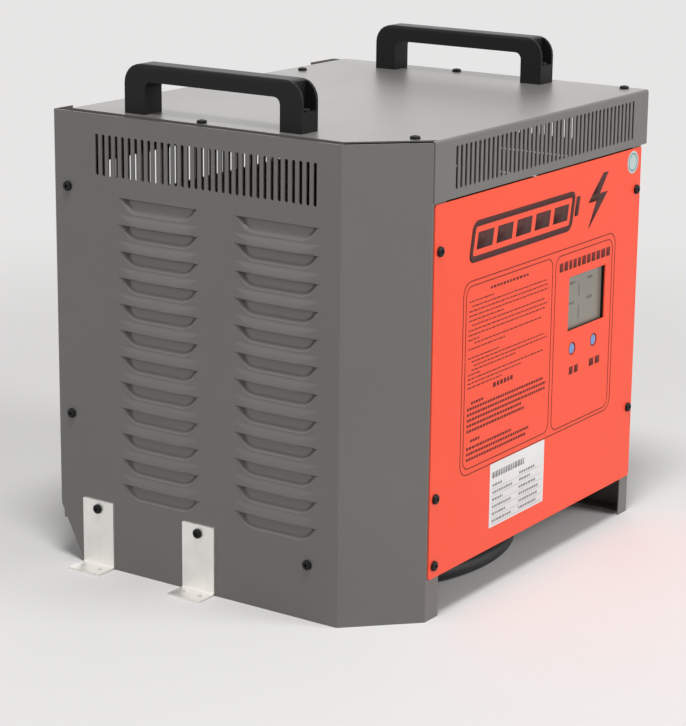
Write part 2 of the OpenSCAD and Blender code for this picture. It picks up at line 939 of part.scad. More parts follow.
module lcd_frame() {
    outer_w = window_w + 2 * frame_wall;
    outer_h = window_h + 2 * frame_wall;
    color([0.10, 0.10, 0.11])
        translate([window_x, 0, window_z])
            difference() {
                block([-outer_w / 2, y_fold, -outer_h / 2], [outer_w / 2, y_board, outer_h / 2]);
                block([-window_w / 2, y_fold - over, -window_h / 2],
                    [window_w / 2, y_front + glass_depth + glass_t, window_h / 2]);
                block([3 - window_w / 2, y_fold - over, 3 - window_h / 2],
                    [window_w / 2 - 3, y_board - 2, window_h / 2 - 3]);
            }
}

module lcd_glass() {
    color([0.58, 0.58, 0.53])
        translate([window_x, 0, window_z])
            block([-window_w / 2, y_front + glass_depth, -window_h / 2],
                [window_w / 2, y_front + glass_depth + glass_t, window_h / 2]);
}

module display_board() {
    color([0.10, 0.35, 0.20])
        difference() {
            block([window_x - board_w / 2, y_board, board_z - board_h / 2],
                [window_x + board_w / 2, y_board + board_t, board_z + board_h / 2]);
            along_y(y_board - over, y_board + board_t + over)
                for (at = spacer_places)
                    translate(at)
                        screw_hole();
        }
}

// Studs welded to the back of the panel, each with a spacer tube that the board stands on
module display_spacers() {
    color([0.75, 0.72, 0.60])
        for (at = spacer_places)
            translate([at.x, 0, at.y])
                rotate([90, 0, 0])
                    translate([0, 0, -y_board]) {
                        cylinder(d = spacer_d, h = board_gap);
                        translate([0, 0, -board_t - 3])
                            cylinder(d = screw_d, h = board_gap + board_t + 3);
                    }
}

module push_button(x) {
    color([0.35, 0.52, 0.78])
        translate([x, y_fold, button_z])
            rotate([90, 0, 0]) {
                rotate_extrude()
                    polygon(rounded([[0, 0], [button_d / 2, 0], [button_d / 2, sheet - button_in],
                        [0, sheet - button_in + button_dome]], [0, 0, button_dome, 0], 4));
                translate([0, 0, -button_flange - button_gap])
                    cylinder(d = button_d + 3, h = button_flange);
                translate([0, 0, -button_gap - over])
                    cylinder(d = button_d - 1, h = 2 * over);
                translate([0, 0, switch_l + button_travel + stem_gap - board_gap])
                    cylinder(d = stem_d, h = board_gap - switch_l - button_travel - stem_gap);
            }
}

module left_button() {
    push_button(button_xs[0]);
}

module right_button() {
    push_button(button_xs[1]);
}

module button_switches() {
    half = 3;
    color([0.15, 0.15, 0.15])
        for (x = button_xs)
            block([x - half, y_board - switch_l, button_z - half], [x + half, y_board, button_z + half]);
}

// Power parts

module transformer_core() {
    color([0.33, 0.32, 0.31])
        translate([core_x, core_y, base_top])
            along_y(-core_stack / 2, core_stack / 2)
                difference() {
                    translate([-core_w / 2, 0])
                        square([core_w, core_h]);
                    for (side = [-1, 1])
                        translate([side * (limb_w + core_window_w) / 2 - core_window_w / 2, limb_w])
                            square([core_window_w, core_window_h]);
                }
}

// Winding with round corners about an upright limb
module winding(w, d, t, h) {
    linear_extrude(height = h)
        difference() {
            polygon(rounded([[-w / 2 - t, -d / 2 - t], [w / 2 + t, -d / 2 - t], [w / 2 + t, d / 2 + t],
                [-w / 2 - t, d / 2 + t]], [t, t, t, t]));
            square([w, d], center = true);
        }
}

module transformer_coils() {
    color([0.72, 0.30, 0.16])
        for (i = [-1, 0, 1])
            translate([core_x + i * (limb_w + core_window_w), core_y, base_top + limb_w + coil_fit])
                winding(limb_w + coil_fit, core_stack + coil_fit, coil_t, core_window_h - 2 * coil_fit);
}

// Angle irons along the yokes, front and rear: the lower pair stands on the base plate
clamp_bolt_d = 8;
bolt_head_d = 14;
bolt_head_h = 6;
clamp_bolt_x = core_w / 2 - limb_w / 2;

module core_clamps() {
    color([0.45, 0.46, 0.47])
        for (side = [-1, 1]) {
            face = core_y + side * core_stack / 2;
            for (level = [0, 1])
                difference() {
                    z = base_top + (level == 0 ? 0 : core_h);
                    up = level == 0 ? 1 : -1;
                    along_x(core_x - core_w / 2, core_x + core_w / 2)
                        polygon(clamp_angle(face, z, side, up));
                    for (bolt = [-1, 1])
                        translate([core_x + bolt * clamp_bolt_x, core_y, z + up * limb_w / 2])
                            rotate([90, 0, 0])
                                cylinder(d = clamp_bolt_d + screw_gap, h = core_stack + 4 * clamp_t,
                                    center = true);
                }
        }
}

function clamp_angle(face, z, side, up) = [
    [face, z], [face + side * clamp_leg, z], [face + side * clamp_leg, z + up * clamp_t],
    [face + side * clamp_t, z + up * clamp_t], [face + side * clamp_t, z + up * clamp_leg],
    [face, z + up * clamp_leg],
];

module clamp_bolts() {
    reach = core_stack / 2 + clamp_t;
    color([0.70, 0.68, 0.62])
        for (bolt = [-1, 1], level = [limb_w / 2, core_h - limb_w / 2], side = [-1, 1])
            translate([core_x + bolt * clamp_bolt_x, core_y + side * reach, base_top + level])
                rotate([side * -90, 0, 0]) {
                    cylinder(d = bolt_head_d, h = bolt_head_h, $fn = 6);
                    translate([0, 0, -clamp_t])
                        cylinder(d = clamp_bolt_d, h = clamp_t);
                }
}

module choke_core() {
    w = 2 * choke_limb + choke_window;
    color([0.33, 0.32, 0.31])
        translate([choke_x, choke_y, base_top])
            along_x(-choke_stack / 2, choke_stack / 2)
                difference() {
                    translate([-w / 2, 0])
                        square([w, choke_h]);
                    translate([-choke_window / 2, choke_limb])
                        square([choke_window, choke_h - 2 * choke_limb]);
                }
}

module choke_coil() {
    color([0.72, 0.45, 0.20])
        for (side = [-1, 1])
            translate([choke_x, choke_y + side * (choke_limb + choke_window) / 2,
                base_top + choke_limb + coil_fit])
                winding(choke_stack + coil_fit, choke_limb + coil_fit, choke_coil_t,
                    choke_h - 2 * choke_limb - 2 * coil_fit);
}

module heat_sink() {
    fin_t = 2.4;
    fin_step = (sink_w - fin_t) / (fins - 1);
    color([0.70, 0.71, 0.72])
        translate([sink_x, sink_y, 0]) {
            block([-sink_base, -sink_w / 2, base_top], [0, sink_w / 2, base_top + sink_h]);
            for (i = [0:fins - 1])
                block([-over / 2, i * fin_step - sink_w / 2, base_top],
                    [sink_d - sink_base, i * fin_step + fin_t - sink_w / 2, base_top + sink_h]);
        }
}

// Two rectifier modules one above the other, each with three studs
rectifier_d = 22;
rectifier_half_w = 45;
rectifier_half_h = 16;
rectifier_levels = [0.25, 0.7];
stud_pitch = 28;
stud_d = 14;
stud_l = 6;

module rectifier_modules() {
    color([0.12, 0.12, 0.13])
        for (level = rectifier_levels)
            translate([sink_x - sink_base, sink_y, base_top + sink_h * level]) {
                block([-rectifier_d, -rectifier_half_w, -rectifier_half_h],
                    [0, rectifier_half_w, rectifier_half_h]);
                for (y = [-stud_pitch, 0, stud_pitch])
                    translate([-rectifier_d, y, 0])
                        rotate([0, -90, 0])
                            cylinder(d = stud_d, h = stud_l);
            }
}

// Contactor: base, arc chamber and armature cover, each as [half width, half depth, top]
contactor_steps = [[35, 40, 46], [27, 40, 72], [18, 24, 84]];

module contactor() {
    color([0.78, 0.76, 0.70])
        translate([contactor_x, contactor_y, base_top])
            for (i = [0:len(contactor_steps) - 1]) {
                step = contactor_steps[i];
                foot = i == 0 ? 0 : contactor_steps[i - 1].z - over;
                block([-step.x, -step.y, foot], step);
            }
}

// Fuse on its holder: a base, two clips and the cartridge between them
fuse_half_w = 16;
fuse_half_l = 45;
fuse_base = 14;
fuse_clip_y = 36;
fuse_clip_h = 40;
fuse_clip_half_w = 10;
fuse_clip_half_l = 5;
fuse_d = 16;
fuse_axis = fuse_clip_h - fuse_d / 2 - 2;

module dc_fuse() {
    color([0.80, 0.72, 0.55])
        translate([fuse_x, fuse_y, base_top]) {
            block([-fuse_half_w, -fuse_half_l, 0], [fuse_half_w, fuse_half_l, fuse_base]);
            for (end = [-1, 1])
                block([-fuse_clip_half_w, end * fuse_clip_y - fuse_clip_half_l, fuse_base - over],
                    [fuse_clip_half_w, end * fuse_clip_y + fuse_clip_half_l, fuse_clip_h]);
            translate([0, -fuse_clip_y, fuse_axis])
                rotate([-90, 0, 0])
                    cylinder(d = fuse_d, h = 2 * fuse_clip_y);
        }
}

// Row of terminals, each with two screw wells
terminals = 4;
terminal_pitch = 16;
terminal_w = 15.4;
terminal_half_l = 18;
terminal_h = 34;
well_d = 9;
well_y = 10;
well_floor = 20;

module terminal_block() {
    color([0.20, 0.24, 0.22])
        translate([terminal_x, terminal_y, base_top])
            for (i = [0:terminals - 1])
                translate([(i - terminals / 2) * terminal_pitch, 0, 0])
                    difference() {
                        block([0, -terminal_half_l, 0], [terminal_w, terminal_half_l, terminal_h]);
                        for (end = [-1, 1])
                            translate([terminal_w / 2, end * well_y, well_floor])
                                cylinder(d = well_d, h = terminal_h);
                    }
}

// Control board on the rear panel
control_w = 170;
control_h = 130;
control_x = x_left + 130;
control_z = base_top + 190;
control_gap = 12;
board_holes = [
    for (sx = [-1, 1], sz = [-1, 1])
        [control_x + sx * (control_w / 2 - 8), control_z + sz * (control_h / 2 - 8)]
];

module control_board() {
    face = y_back - sheet - control_gap;
    color([0.10, 0.35, 0.20]) {
        difference() {
            block([control_x - control_w / 2, face - board_t, control_z - control_h / 2],
                [control_x + control_w / 2, face, control_z + control_h / 2]);
            along_y(face - board_t - over, face + over)
                for (at = board_holes)
                    translate(at)
                        screw_hole();
        }
        for (chip = [[-50, -30, 26, 20, 9], [-10, -28, 18, 26, 5], [35, -20, 34, 30, 14],
            [-45, 25, 30, 18, 16], [5, 28, 22, 22, 11], [52, 30, 16, 28, 12]])
            translate([control_x + chip[0], face - board_t, control_z + chip[1]])
                block([-chip[2] / 2, -chip[4], -chip[3] / 2], [chip[2] / 2, over / 2, chip[3] / 2]);
    }
}

module board_spacers() {
    color([0.75, 0.72, 0.60])
        for (at = board_holes)
            translate([at.x, y_back - sheet, at.y])
                rotate([90, 0, 0]) {
                    cylinder(d = spacer_d, h = control_gap);
                    cylinder(d = screw_d, h = control_gap + board_t + 3);
                }
}

// Tubes along hand-chosen points

function heading(route, i) =
    let (last = len(route) - 1)
    unit(i == 0 ? route[1] - route[0]
        : i == last ? route[last] - route[last - 1]
        : unit(route[i + 1] - route[i]) + unit(route[i] - route[i - 1]));

function ring(route, i, r, sides) =
    let (
        along = heading(route, i),
        side = unit(cross(abs(along.z) > 0.9 ? [0, 1, 0] : [0, 0, 1], along)),
        up = cross(along, side)
    )
    [for (k = [0:sides - 1])
        route[i] + r * (side * cos(360 * (k + 0.5) / sides) + up * sin(360 * (k + 0.5) / sides))];

module tube(route, r, sides) {
    n = len(route);
    points = [for (i = [0:n - 1]) each ring(route, i, r, sides)];
    walls = [for (i = [0:n - 2], k = [0:sides - 1])
        let (a = i * sides + k, b = i * sides + (k + 1) % sides)
        each [[a, a + sides, b], [b, a + sides, b + sides]]];
    caps = [[for (k = [0:sides - 1]) k], [for (k = [sides - 1:-1:0]) (n - 1) * sides + k]];
    polyhedron(points, concat(walls, caps));
}

gland_thread_d = cable_d + 12;

// Leads between the power parts, held at both ends: each starts on the end of a rectifier's stud
function lead_start(y, level) =
    [sink_x - sink_base - rectifier_d - stud_l, sink_y + y, base_top + sink_h * level];

module positive_lead() {
    start = lead_start(stud_pitch, rectifier_levels[1]);
    coil_side = core_x + limb_w + core_window_w + (limb_w + coil_fit) / 2 + coil_t;
    finish = [coil_side, core_y, base_top + limb_w + core_window_h - 2 * lead_d];
    ease = [lead_d, 0, 0];
    color([0.75, 0.08, 0.06])
        tube([start, start - ease, (start + finish) / 2, finish + ease, finish], lead_d / 2, 8);
}

module negative_lead() {
    start = lead_start(-stud_pitch, rectifier_levels[0]);
    finish = [fuse_x, fuse_y + fuse_half_l, base_top + fuse_base / 2];
    middle = finish + [2, 0.45 * (start.y - finish.y), 6];
    color([0.12, 0.12, 0.12])
        tube([
            start, start + [-20, 0, 0], start + [-38, -16, -8], middle, finish + [0, 22, 0], finish,
        ], lead_d / 2, 8);
}

// Gland: thread through the panel with a nut inside, a hexagon and a domed cap outside
module gland(x, bore, end_wall) {
    hex_d = gland_thread_d + 12;
    cap_d = gland_thread_d + 4;
    thread_in = 12;
    color([0.10, 0.10, 0.10])
        translate([x, y_back, gland_z])
            rotate([-90, 0, 0])
                difference() {
                    union() {
                        cylinder(d = hex_d, h = 8, $fn = 6);
                        rotate_extrude()
                            polygon(rounded([[0, 6], [cap_d / 2, 6], [cap_d / 2, gland_l - 6],
                                [bore / 2 + 1.5, gland_l], [0, gland_l]], [0, 0, 4, 0, 0], 4));
                        translate([0, 0, -sheet - thread_in])
                            cylinder(d = gland_thread_d - 0.4, h = sheet + thread_in + over);
                        translate([0, 0, -sheet - 6])
                            cylinder(d = hex_d, h = 6, $fn = 6);
                    }
                    translate([0, 0, -sheet - thread_in - over])
                        cylinder(d = bore, h = sheet + thread_in + gland_l + over - end_wall);
                }
}

module dc_gland() {
    gland(dc_x, cable_d, 5);
}

module mains_gland() {
    gland(mains_x, cable_d - 6, -over);
}

module charging_cable() {
    color([0.08, 0.08, 0.08])
        tube(cable_route, cable_r, tube_sides);
}

module cable_tail() {
    color([0.08, 0.08, 0.08])
        tube(tail_route, cable_r, tube_sides);
}

// Two flat turns: the inner one is whole, and the outer one starts where the cable comes in
module cable_coil() {
    color([0.08, 0.08, 0.08])
        translate([coil_at.x, coil_at.y, 0]) {
            rotate_extrude()
                translate([coil_r - cable_d, 0])
                    square([cable_d, cable_d]);
            rotate_extrude(angle = outer_turn_end)
                translate([coil_r - over / 2, 0])
                    square([cable_d + over / 2, cable_d]);
        }
}

// Two-pole battery connector that lies flat, with the contacts in two open tunnels
tunnel_w = 20;
tunnel_h = 15;
tunnel_l = 46;
tunnel_x = 12.5;

module battery_connector() {
    grip = 10;
    color([0.62, 0.10, 0.08])
        translate([plug_end.x, plug_end.y, 0])
            difference() {
                along_z(0, plug_h)
                    polygon(rounded([[-plug_w / 2 + grip, 0], [plug_w / 2 - grip, 0],
                        [plug_w / 2, 24], [plug_w / 2, plug_l], [-plug_w / 2, plug_l],
                        [-plug_w / 2, 24]], [3, 3, 6, 2, 2, 6], 4));
                for (side = [-1, 1])
                    block([side * tunnel_x - tunnel_w / 2, plug_l - tunnel_l, (plug_h - tunnel_h) / 2],
                        [side * tunnel_x + tunnel_w / 2, plug_l + over, (plug_h + tunnel_h) / 2]);
                for (y = [32:7:60], z = [-over, plug_h - 1.2])
                    block([-plug_w / 2 - over, y, z], [plug_w / 2 + over, y + 2.5, z + 1.2 + over]);
            }
}

module connector_contacts() {
    color([0.80, 0.78, 0.72])
        for (side = [-1, 1])
            translate([plug_end.x + side * tunnel_x, plug_end.y + plug_l - tunnel_l, plug_h / 2])
                block([-7, 0, -tunnel_h / 2], [7, tunnel_l - 10, 4 - tunnel_h / 2]);
}

base_plate();
left_side_panel();
right_side_panel();
rear_panel();
top_cover();
front_panel();
left_handle();
right_handle();
handle_screws();
top_cover_screws();
side_panel_screws();
front_panel_screws();
bracket_screws();
rear_floor_bracket();
middle_floor_bracket();
lcd_frame();
lcd_glass();
display_board();
display_spacers();
left_button();
right_button();
button_switches();
transformer_core();
transformer_coils();
core_clamps();
clamp_bolts();
choke_core();
choke_coil();
heat_sink();
rectifier_modules();
contactor();
dc_fuse();
terminal_block();
control_board();
board_spacers();
positive_lead();
negative_lead();
dc_gland();
mains_gland();
charging_cable();
cable_coil();
cable_tail();
battery_connector();
connector_contacts();
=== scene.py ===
"""Looks of a floor-standing battery charger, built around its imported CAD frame.

Metres, +Z up, the operating panel faces -Y. Sheets, handles, screws and power parts are the CAD
nodes with new finishes; the rolled edges of the louvers, the charging cable, the print on the panel
and the stage are made here.
"""

import math

import bmesh
import bpy
import numpy as np
from bpy.props import FloatProperty, FloatVectorProperty, PointerProperty
from mathutils import Matrix, Vector


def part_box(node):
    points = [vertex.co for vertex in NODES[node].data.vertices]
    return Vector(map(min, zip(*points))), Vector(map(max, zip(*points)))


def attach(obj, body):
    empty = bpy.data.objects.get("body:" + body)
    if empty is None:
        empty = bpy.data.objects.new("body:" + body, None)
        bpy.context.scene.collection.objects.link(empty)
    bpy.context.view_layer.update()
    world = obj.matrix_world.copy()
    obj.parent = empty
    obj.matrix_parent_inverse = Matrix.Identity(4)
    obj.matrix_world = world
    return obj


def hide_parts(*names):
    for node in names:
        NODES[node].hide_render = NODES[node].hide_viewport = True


bl_info = {
    "name": "Battery charger looks",
    "version": (1, 0, 0),
    "blender": (4, 5, 0),
    "location": "View3D > Sidebar > Charger",
    "description": "Finishes, panel print, charging cable and stage of a battery charger",
    "category": "Object",
}

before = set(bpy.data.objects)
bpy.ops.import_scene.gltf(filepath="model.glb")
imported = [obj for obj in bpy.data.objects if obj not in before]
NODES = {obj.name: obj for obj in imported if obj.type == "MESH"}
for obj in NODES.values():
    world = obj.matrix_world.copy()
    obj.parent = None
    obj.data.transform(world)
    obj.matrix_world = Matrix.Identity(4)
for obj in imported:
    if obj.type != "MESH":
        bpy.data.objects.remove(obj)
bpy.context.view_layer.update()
CABINET = "cabinet"
MM = 0.001
PANEL_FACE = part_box("front_panel")[0].y
WALL_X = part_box("left_side_panel")[0].x
GLASS_LOW, GLASS_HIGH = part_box("lcd_glass")
GLAND_LOW, GLAND_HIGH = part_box("dc_gland")


def length_of(name, description, default):
    """A length that a user can change, in metres."""
    return FloatProperty(
        name=name, description=description, default=default, min=0.0, unit="LENGTH", precision=5
    )


def colour_of(name, description, default):
    """A linear colour that a user can change."""
    return FloatVectorProperty(
        name=name, description=description, default=default, size=3, min=0.0, max=1.0,
        subtype="COLOR",
    )


class ChargerSizes(bpy.types.PropertyGroup):
    """Sizes of the pieces that are made here"""

    cable_d: length_of("Cable diameter", "Outer diameter of the charging cable", 0.020)
    relief_l: length_of("Strain relief", "Length of the cable's sleeve at the gland", 0.045)
    boot_l: length_of("Connector boot", "Length of the boot behind the connector", 0.040)
    tie_w: length_of("Tie width", "Width of the tie round the coil", 0.014)
    ink_t: length_of("Ink thickness", "Thickness of the print on the panel", 0.00008)
    line_w: length_of("Frame line", "Width of the printed frame lines", 0.0011)
    plate_t: length_of("Plate thickness", "Thickness of the rating plate", 0.0004)
    sticker_d: length_of("Sticker diameter", "Diameter of the round sticker", 0.027)
    flange_w: length_of("Button flange", "Part of a button's flange behind the panel", 0.0009)
    # The button rim is a flat dark ring of painted shade round each hole, standing in for the
    # hole's shaded wall.
    shade_ring_w: length_of("Button rim", "Dark cut edge round the hole of a button", 0.0008)


class ChargerColours(bpy.types.PropertyGroup):
    """Colours of the finishes"""

    paint: colour_of("Cabinet paint", "Powder coat of the cabinet sheets", (0.150, 0.144, 0.137))
    film: colour_of("Panel film", "Satin film of the operating panel", (0.93, 0.088, 0.038))
    ink: colour_of("Sign", "Dark print of the battery sign", (0.060, 0.018, 0.016))
    fine_ink: colour_of("Lines and rows", "Print of the frames and rows", (0.150, 0.020, 0.015))
    grey_ink: colour_of("Plate print", "Print of the rating plate", (0.27, 0.27, 0.275))
    zinc: colour_of("Zinc", "Plating of the brackets and the base plate", (0.86, 0.845, 0.81))
    moulding: colour_of("Black mouldings", "Handles, glands and frames", (0.0075, 0.0072, 0.007))
    screw: colour_of("Screws", "Blackened screws", (0.008, 0.008, 0.008))
    lcd: colour_of("Display", "Polarizer of the display", (0.218, 0.208, 0.172))
    button: colour_of("Buttons", "Blue push buttons", (0.16, 0.32, 0.62))
    rubber: colour_of("Cable sheath", "Rubber of the charging cable", (0.014, 0.014, 0.015))
    plug: colour_of("Connector", "Housing of the battery connector", (0.40, 0.020, 0.018))
    plate: colour_of("Rating plate", "Silvered face of the rating plate", (0.78, 0.78, 0.78))
    floor: colour_of("Floor", "Plain pale floor", (0.70, 0.695, 0.69))


# Shader expressions


class Field:
    """A node socket that takes part in Python arithmetic: each operator adds one Math node."""

    def __init__(self, graph, socket):
        self.graph = graph
        self.socket = socket

    def math(self, operation, first, second):
        """Math node on two fields, or on a field and a number."""
        return self.graph.node("ShaderNodeMath", {"operation": operation}, {0: first, 1: second})

    def most(self, other):
        """The larger of two fields."""
        return self.math("MAXIMUM", self, other)

    def __add__(self, other):
        return self.math("ADD", self, other)

    def __sub__(self, other):
        return self.math("SUBTRACT", self, other)

    def __rsub__(self, other):
        return self.math("SUBTRACT", other, self)

    def __mul__(self, other):
        return self.math("MULTIPLY", self, other)

    def __gt__(self, other):
        return self.math("GREATER_THAN", self, other)

    __radd__ = __add__
    __rmul__ = __mul__


class Graph:
    """Nodes of a material or a world under construction, with one method for every kind of node."""

    def __init__(self, owner):
        owner.use_nodes = True
        self.owner = owner
        self.tree = owner.node_tree
        self.tree.nodes.clear()

    def node(self, kind, settings=None, sockets=None, out=0):
        """Adds a node, sets its settings and then its sockets, to values or links.

        Gives one of its outputs, or nothing where it has none.
        """
        made = self.tree.nodes.new(kind)
        for key, value in (settings or {}).items():
            setattr(made, key, value)
        for key, value in (sockets or {}).items():
            if isinstance(value, Field):
                self.tree.links.new(value.socket, made.inputs[key])
            else:
                made.inputs[key].default_value = value
        return Field(self, made.outputs[out]) if made.outputs else None

    def place(self, stretch=(1.0, 1.0, 1.0)):
        """Object coordinates, stretched along the axes."""
        spot = self.node("ShaderNodeTexCoord", out="Object")
        return self.node("ShaderNodeMapping", None, {"Vector": spot, "Scale": stretch})

    def noise(self, place, scale, detail):
        """Soft noise between 0 and 1, with scale grains to the metre."""
        sockets = {"Vector": place, "Scale": scale, "Detail": detail}
        return self.node("ShaderNodeTexNoise", None, sockets)

    def wave(self, place, scale, along, distortion):
        """Bands across one axis, slightly distorted."""
        settings = {"wave_type": "BANDS", "bands_direction": along}
        sockets = {"Vector": place, "Scale": scale, "Distortion": distortion}
        return self.node("ShaderNodeTexWave", settings, sockets)

    def cells(self, place, scale):
        """Distance to the middle of the nearest cell."""
        sockets = {"Vector": place, "Scale": scale}
        return self.node("ShaderNodeTexVoronoi", None, sockets, "Distance")

    def shades(self, mask, colour, low, high):
        """One colour made darker and lighter by two factors, mixed by a mask."""
        sockets = {0: mask, 6: (*tinted(colour, low), 1.0), 7: (*tinted(colour, high), 1.0)}
        return self.node("ShaderNodeMix", {"data_type": "RGBA"}, sockets, 2)

    def bump(self, height, distance, strength):
        """Normal of a surface that is raised by height times distance."""
        sockets = {"Height": height, "Distance": distance, "Strength": strength}
        return self.node("ShaderNodeBump", None, sockets)

    def background_rays(self):
        """1 for the rays that see the background: from the camera, or by way of gloss or glass."""
        kinds = ("Is Camera Ray", "Is Glossy Ray", "Is Transmission Ray")
        camera, glossy, glass = (self.node("ShaderNodeLightPath", out=kind) for kind in kinds)
        return camera.most(glossy).most(glass)

    def principled(self, base, rough, normal, **fixed):
        """One Principled shader; fixed holds the sockets that are the same all over."""
        sockets = {"Base Color": base, "Roughness": rough, "Normal": normal}
        sockets.update({key.replace("_", " "): value for key, value in fixed.items()})
        return self.node("ShaderNodeBsdfPrincipled", None, sockets)

    def close(self, shader, kind="ShaderNodeOutputMaterial"):
        """Ends the tree in its output node, and gives its owner."""
        self.node(kind, None, {"Surface": shader})
        return self.owner


class Finish(Graph):
    """A new material."""

    def __init__(self, name):
        super().__init__(bpy.data.materials.new(name))

    def surface(self, base, rough, normal, **fixed):
        """The finished material, with one Principled shader."""
        return self.close(self.principled(base, rough, normal, **fixed))


def tinted(colour, factor):
    """A colour made lighter or darker."""
    return tuple(min(1.0, part * factor) for part in colour)


def powder_coat(name, colour):
    """Semi-gloss powder coat: orange peel about 2 mm wide, fine speckle, slow drift of shade."""
    f = Finish(name)
    place = f.place()
    drift = f.noise(place, 5.0, 3.0)
    peel = f.noise(place, 420.0, 2.0)
    speck = f.noise(place, 1900.0, 1.0)
    base = f.shades(drift * 0.55 + speck * 0.45, colour, 0.86, 1.14)
    rough = 0.30 + drift * 0.10 + speck * 0.06
    bump = f.bump(peel * 0.8 + speck * 0.2, 0.00012, 0.55)
    return f.surface(base, rough, bump, Specular_IOR_Level=0.5)


def panel_film(name, colour):
    """Satin film on sheet: very fine grain, and a slow change of gloss."""
    f = Finish(name)
    place = f.place()
    drift = f.noise(place, 4.0, 2.0)
    grain = f.noise(place, 2400.0, 1.0)
    base = f.shades(drift * 0.7 + grain * 0.3, colour, 0.95, 1.05)
    bump = f.bump(grain, 0.00003, 0.35)
    return f.surface(base, 0.36 + drift * 0.08, bump, Specular_IOR_Level=0.3)


def moulded(name, colour, rough=0.45, grain=0.00006):
    """Moulded plastic with an eroded grain and slightly polished high spots."""
    f = Finish(name)
    place = f.place()
    pits = f.noise(place, 1300.0, 2.0)
    drift = f.noise(place, 14.0, 2.0)
    base = f.shades(pits * 0.6 + drift * 0.4, colour, 0.80, 1.25)
    bump = f.bump(pits, grain, 0.8)
    return f.surface(base, rough + pits * 0.12 + drift * 0.06, bump, Specular_IOR_Level=0.2)


def plated(name, colour, rough, streak):
    """Plated or extruded metal: fine lines along the rolling direction and a cloudy plating."""
    f = Finish(name)
    lines = f.noise(f.place(streak), 260.0, 3.0)
    cloud = f.noise(f.place(), 38.0, 3.0)
    base = f.shades(cloud * 0.65 + lines * 0.35, colour, 0.82, 1.10)
    bump = f.bump(lines, 0.00003, 0.5)
    return f.surface(base, rough + lines * 0.14 + cloud * 0.10, bump, Metallic=0.85)


def rubber_sheath(name, colour):
    """Rubber sheath: matte, with a fine dusty grain."""
    f = Finish(name)
    place = f.place()
    grain = f.noise(place, 900.0, 2.0)
    dust = f.noise(place, 26.0, 3.0)
    base = f.shades(dust * 0.6 + grain * 0.4, colour, 0.7, 1.7)
    return f.surface(base, 0.52 + dust * 0.12, f.bump(grain, 0.00008, 0.6))


def varnished_winding(name, colour):
    """Layers of enamelled wire under varnish: bands along the limb."""
    f = Finish(name)
    turns = f.wave(f.place(), 90.0, "Z", 0.4)
    varnish = f.noise(f.place(), 30.0, 3.0)
    base = f.shades(turns * 0.5 + varnish * 0.5, colour, 0.55, 1.25)
    return f.surface(base, 0.30 + varnish * 0.15, f.bump(turns, 0.0004, 0.7))


def laminated_core(name, colour):
    """Edges of stacked laminations with a thin varnish."""
    f = Finish(name)
    sheets = f.wave(f.place(), 220.0, "Y", 0.2)
    rust = f.noise(f.place(), 22.0, 4.0)
    base = f.shades(sheets * 0.4 + rust * 0.6, colour, 0.7, 1.4)
    return f.surface(base, 0.45 + rust * 0.2, f.bump(sheets, 0.0002, 0.6), Metallic=0.4)


def circuit_board(name, colour):
    """Solder mask over copper tracks: the cells of a coarse pattern stand for the poured areas."""
    f = Finish(name)
    tracks = f.cells(f.place((1.0, 1.0, 0.5)), 150.0) > 0.42
    cloud = f.noise(f.place(), 60.0, 2.0)
    base = f.shades(tracks, colour, 0.8, 1.5)
    return f.surface(base, 0.35 + cloud * 0.1, f.bump(tracks, 0.00004, 0.5))


def display_polarizer(name, colour):
    """Reflective display under a thin film: a faint slow change of tint, with a gloss on top."""
    f = Finish(name)
    tint = f.noise(f.place(), 18.0, 2.0)
    grain = f.noise(f.place(), 3000.0, 1.0)
    base = f.shades(tint * 0.8 + grain * 0.2, colour, 0.88, 1.10)
    return f.surface(base, 0.22 + tint * 0.06, f.bump(grain, 0.00001, 0.2), Coat_Weight=0.3)


def printed_ink(name, colour, rough=0.5):
    """Screen-printed ink: slightly uneven cover."""
    f = Finish(name)
    cover = f.noise(f.place(), 700.0, 2.0)
    base = f.shades(cover, colour, 0.75, 1.25)
    bump = f.bump(cover, 0.00002, 0.4)
    return f.surface(base, rough + cover * 0.1, bump, Specular_IOR_Level=0.2)


def glossy_button(name, colour):
    """Translucent-looking push button: a soft gloss with small scuffs."""
    f = Finish(name)
    scuff = f.noise(f.place((1.0, 1.0, 3.0)), 800.0, 2.0)
    drift = f.noise(f.place(), 120.0, 2.0)
    base = f.shades(drift * 0.6 + scuff * 0.4, colour, 0.85, 1.15)
    return f.surface(base, 0.22 + scuff * 0.15, f.bump(scuff, 0.00002, 0.4))


def silver_foil(name, colour):
    """Matt silver foil: brushed along X, with a cloudy gloss."""
    f = Finish(name)
    lines = f.noise(f.place((1.0, 1.0, 30.0)), 90.0, 3.0)
    cloud = f.noise(f.place(), 40.0, 2.0)
    base = f.shades(lines * 0.5 + cloud * 0.5, colour, 0.92, 1.06)
    return f.surface(base, 0.42 + cloud * 0.1, f.bump(lines, 0.00001, 0.3), Metallic=0.15)


# Level and tint of the even background, the level of the light that it gives, and the distances
# between which the floor goes over into it

BACKDROP, BACKDROP_TINT = 0.80, (1.0, 0.99, 0.985)
AMBIENT = 0.29
FADE_FROM, FADE_TO = 0.55, 1.9


def pale_floor(name, colour):
    """Plain paper floor with a hardly visible tooth; far away it goes over into the backdrop."""
    f = Finish(name)
    place = f.place()
    tooth = f.noise(place, 160.0, 2.0)
    base = f.shades(tooth, colour, 0.985, 1.015)
    paper = f.principled(base, 0.85, f.bump(tooth, 0.0001, 0.1), Specular_IOR_Level=0.2)
    away = f.node("ShaderNodeVectorMath", {"operation": "LENGTH"}, {0: place}, "Value")
    fade = {0: away, 1: FADE_FROM, 2: FADE_TO}
    far = f.node("ShaderNodeMapRange", {"interpolation_type": "SMOOTHSTEP"}, fade)
    glow = {"Color": (*BACKDROP_TINT, 1.0), "Strength": BACKDROP}
    even = f.node("ShaderNodeEmission", None, glow)
    both = {0: far * f.background_rays(), 1: paper, 2: even}
    return f.close(f.node("ShaderNodeMixShader", None, both))


# Surfaces as arrays

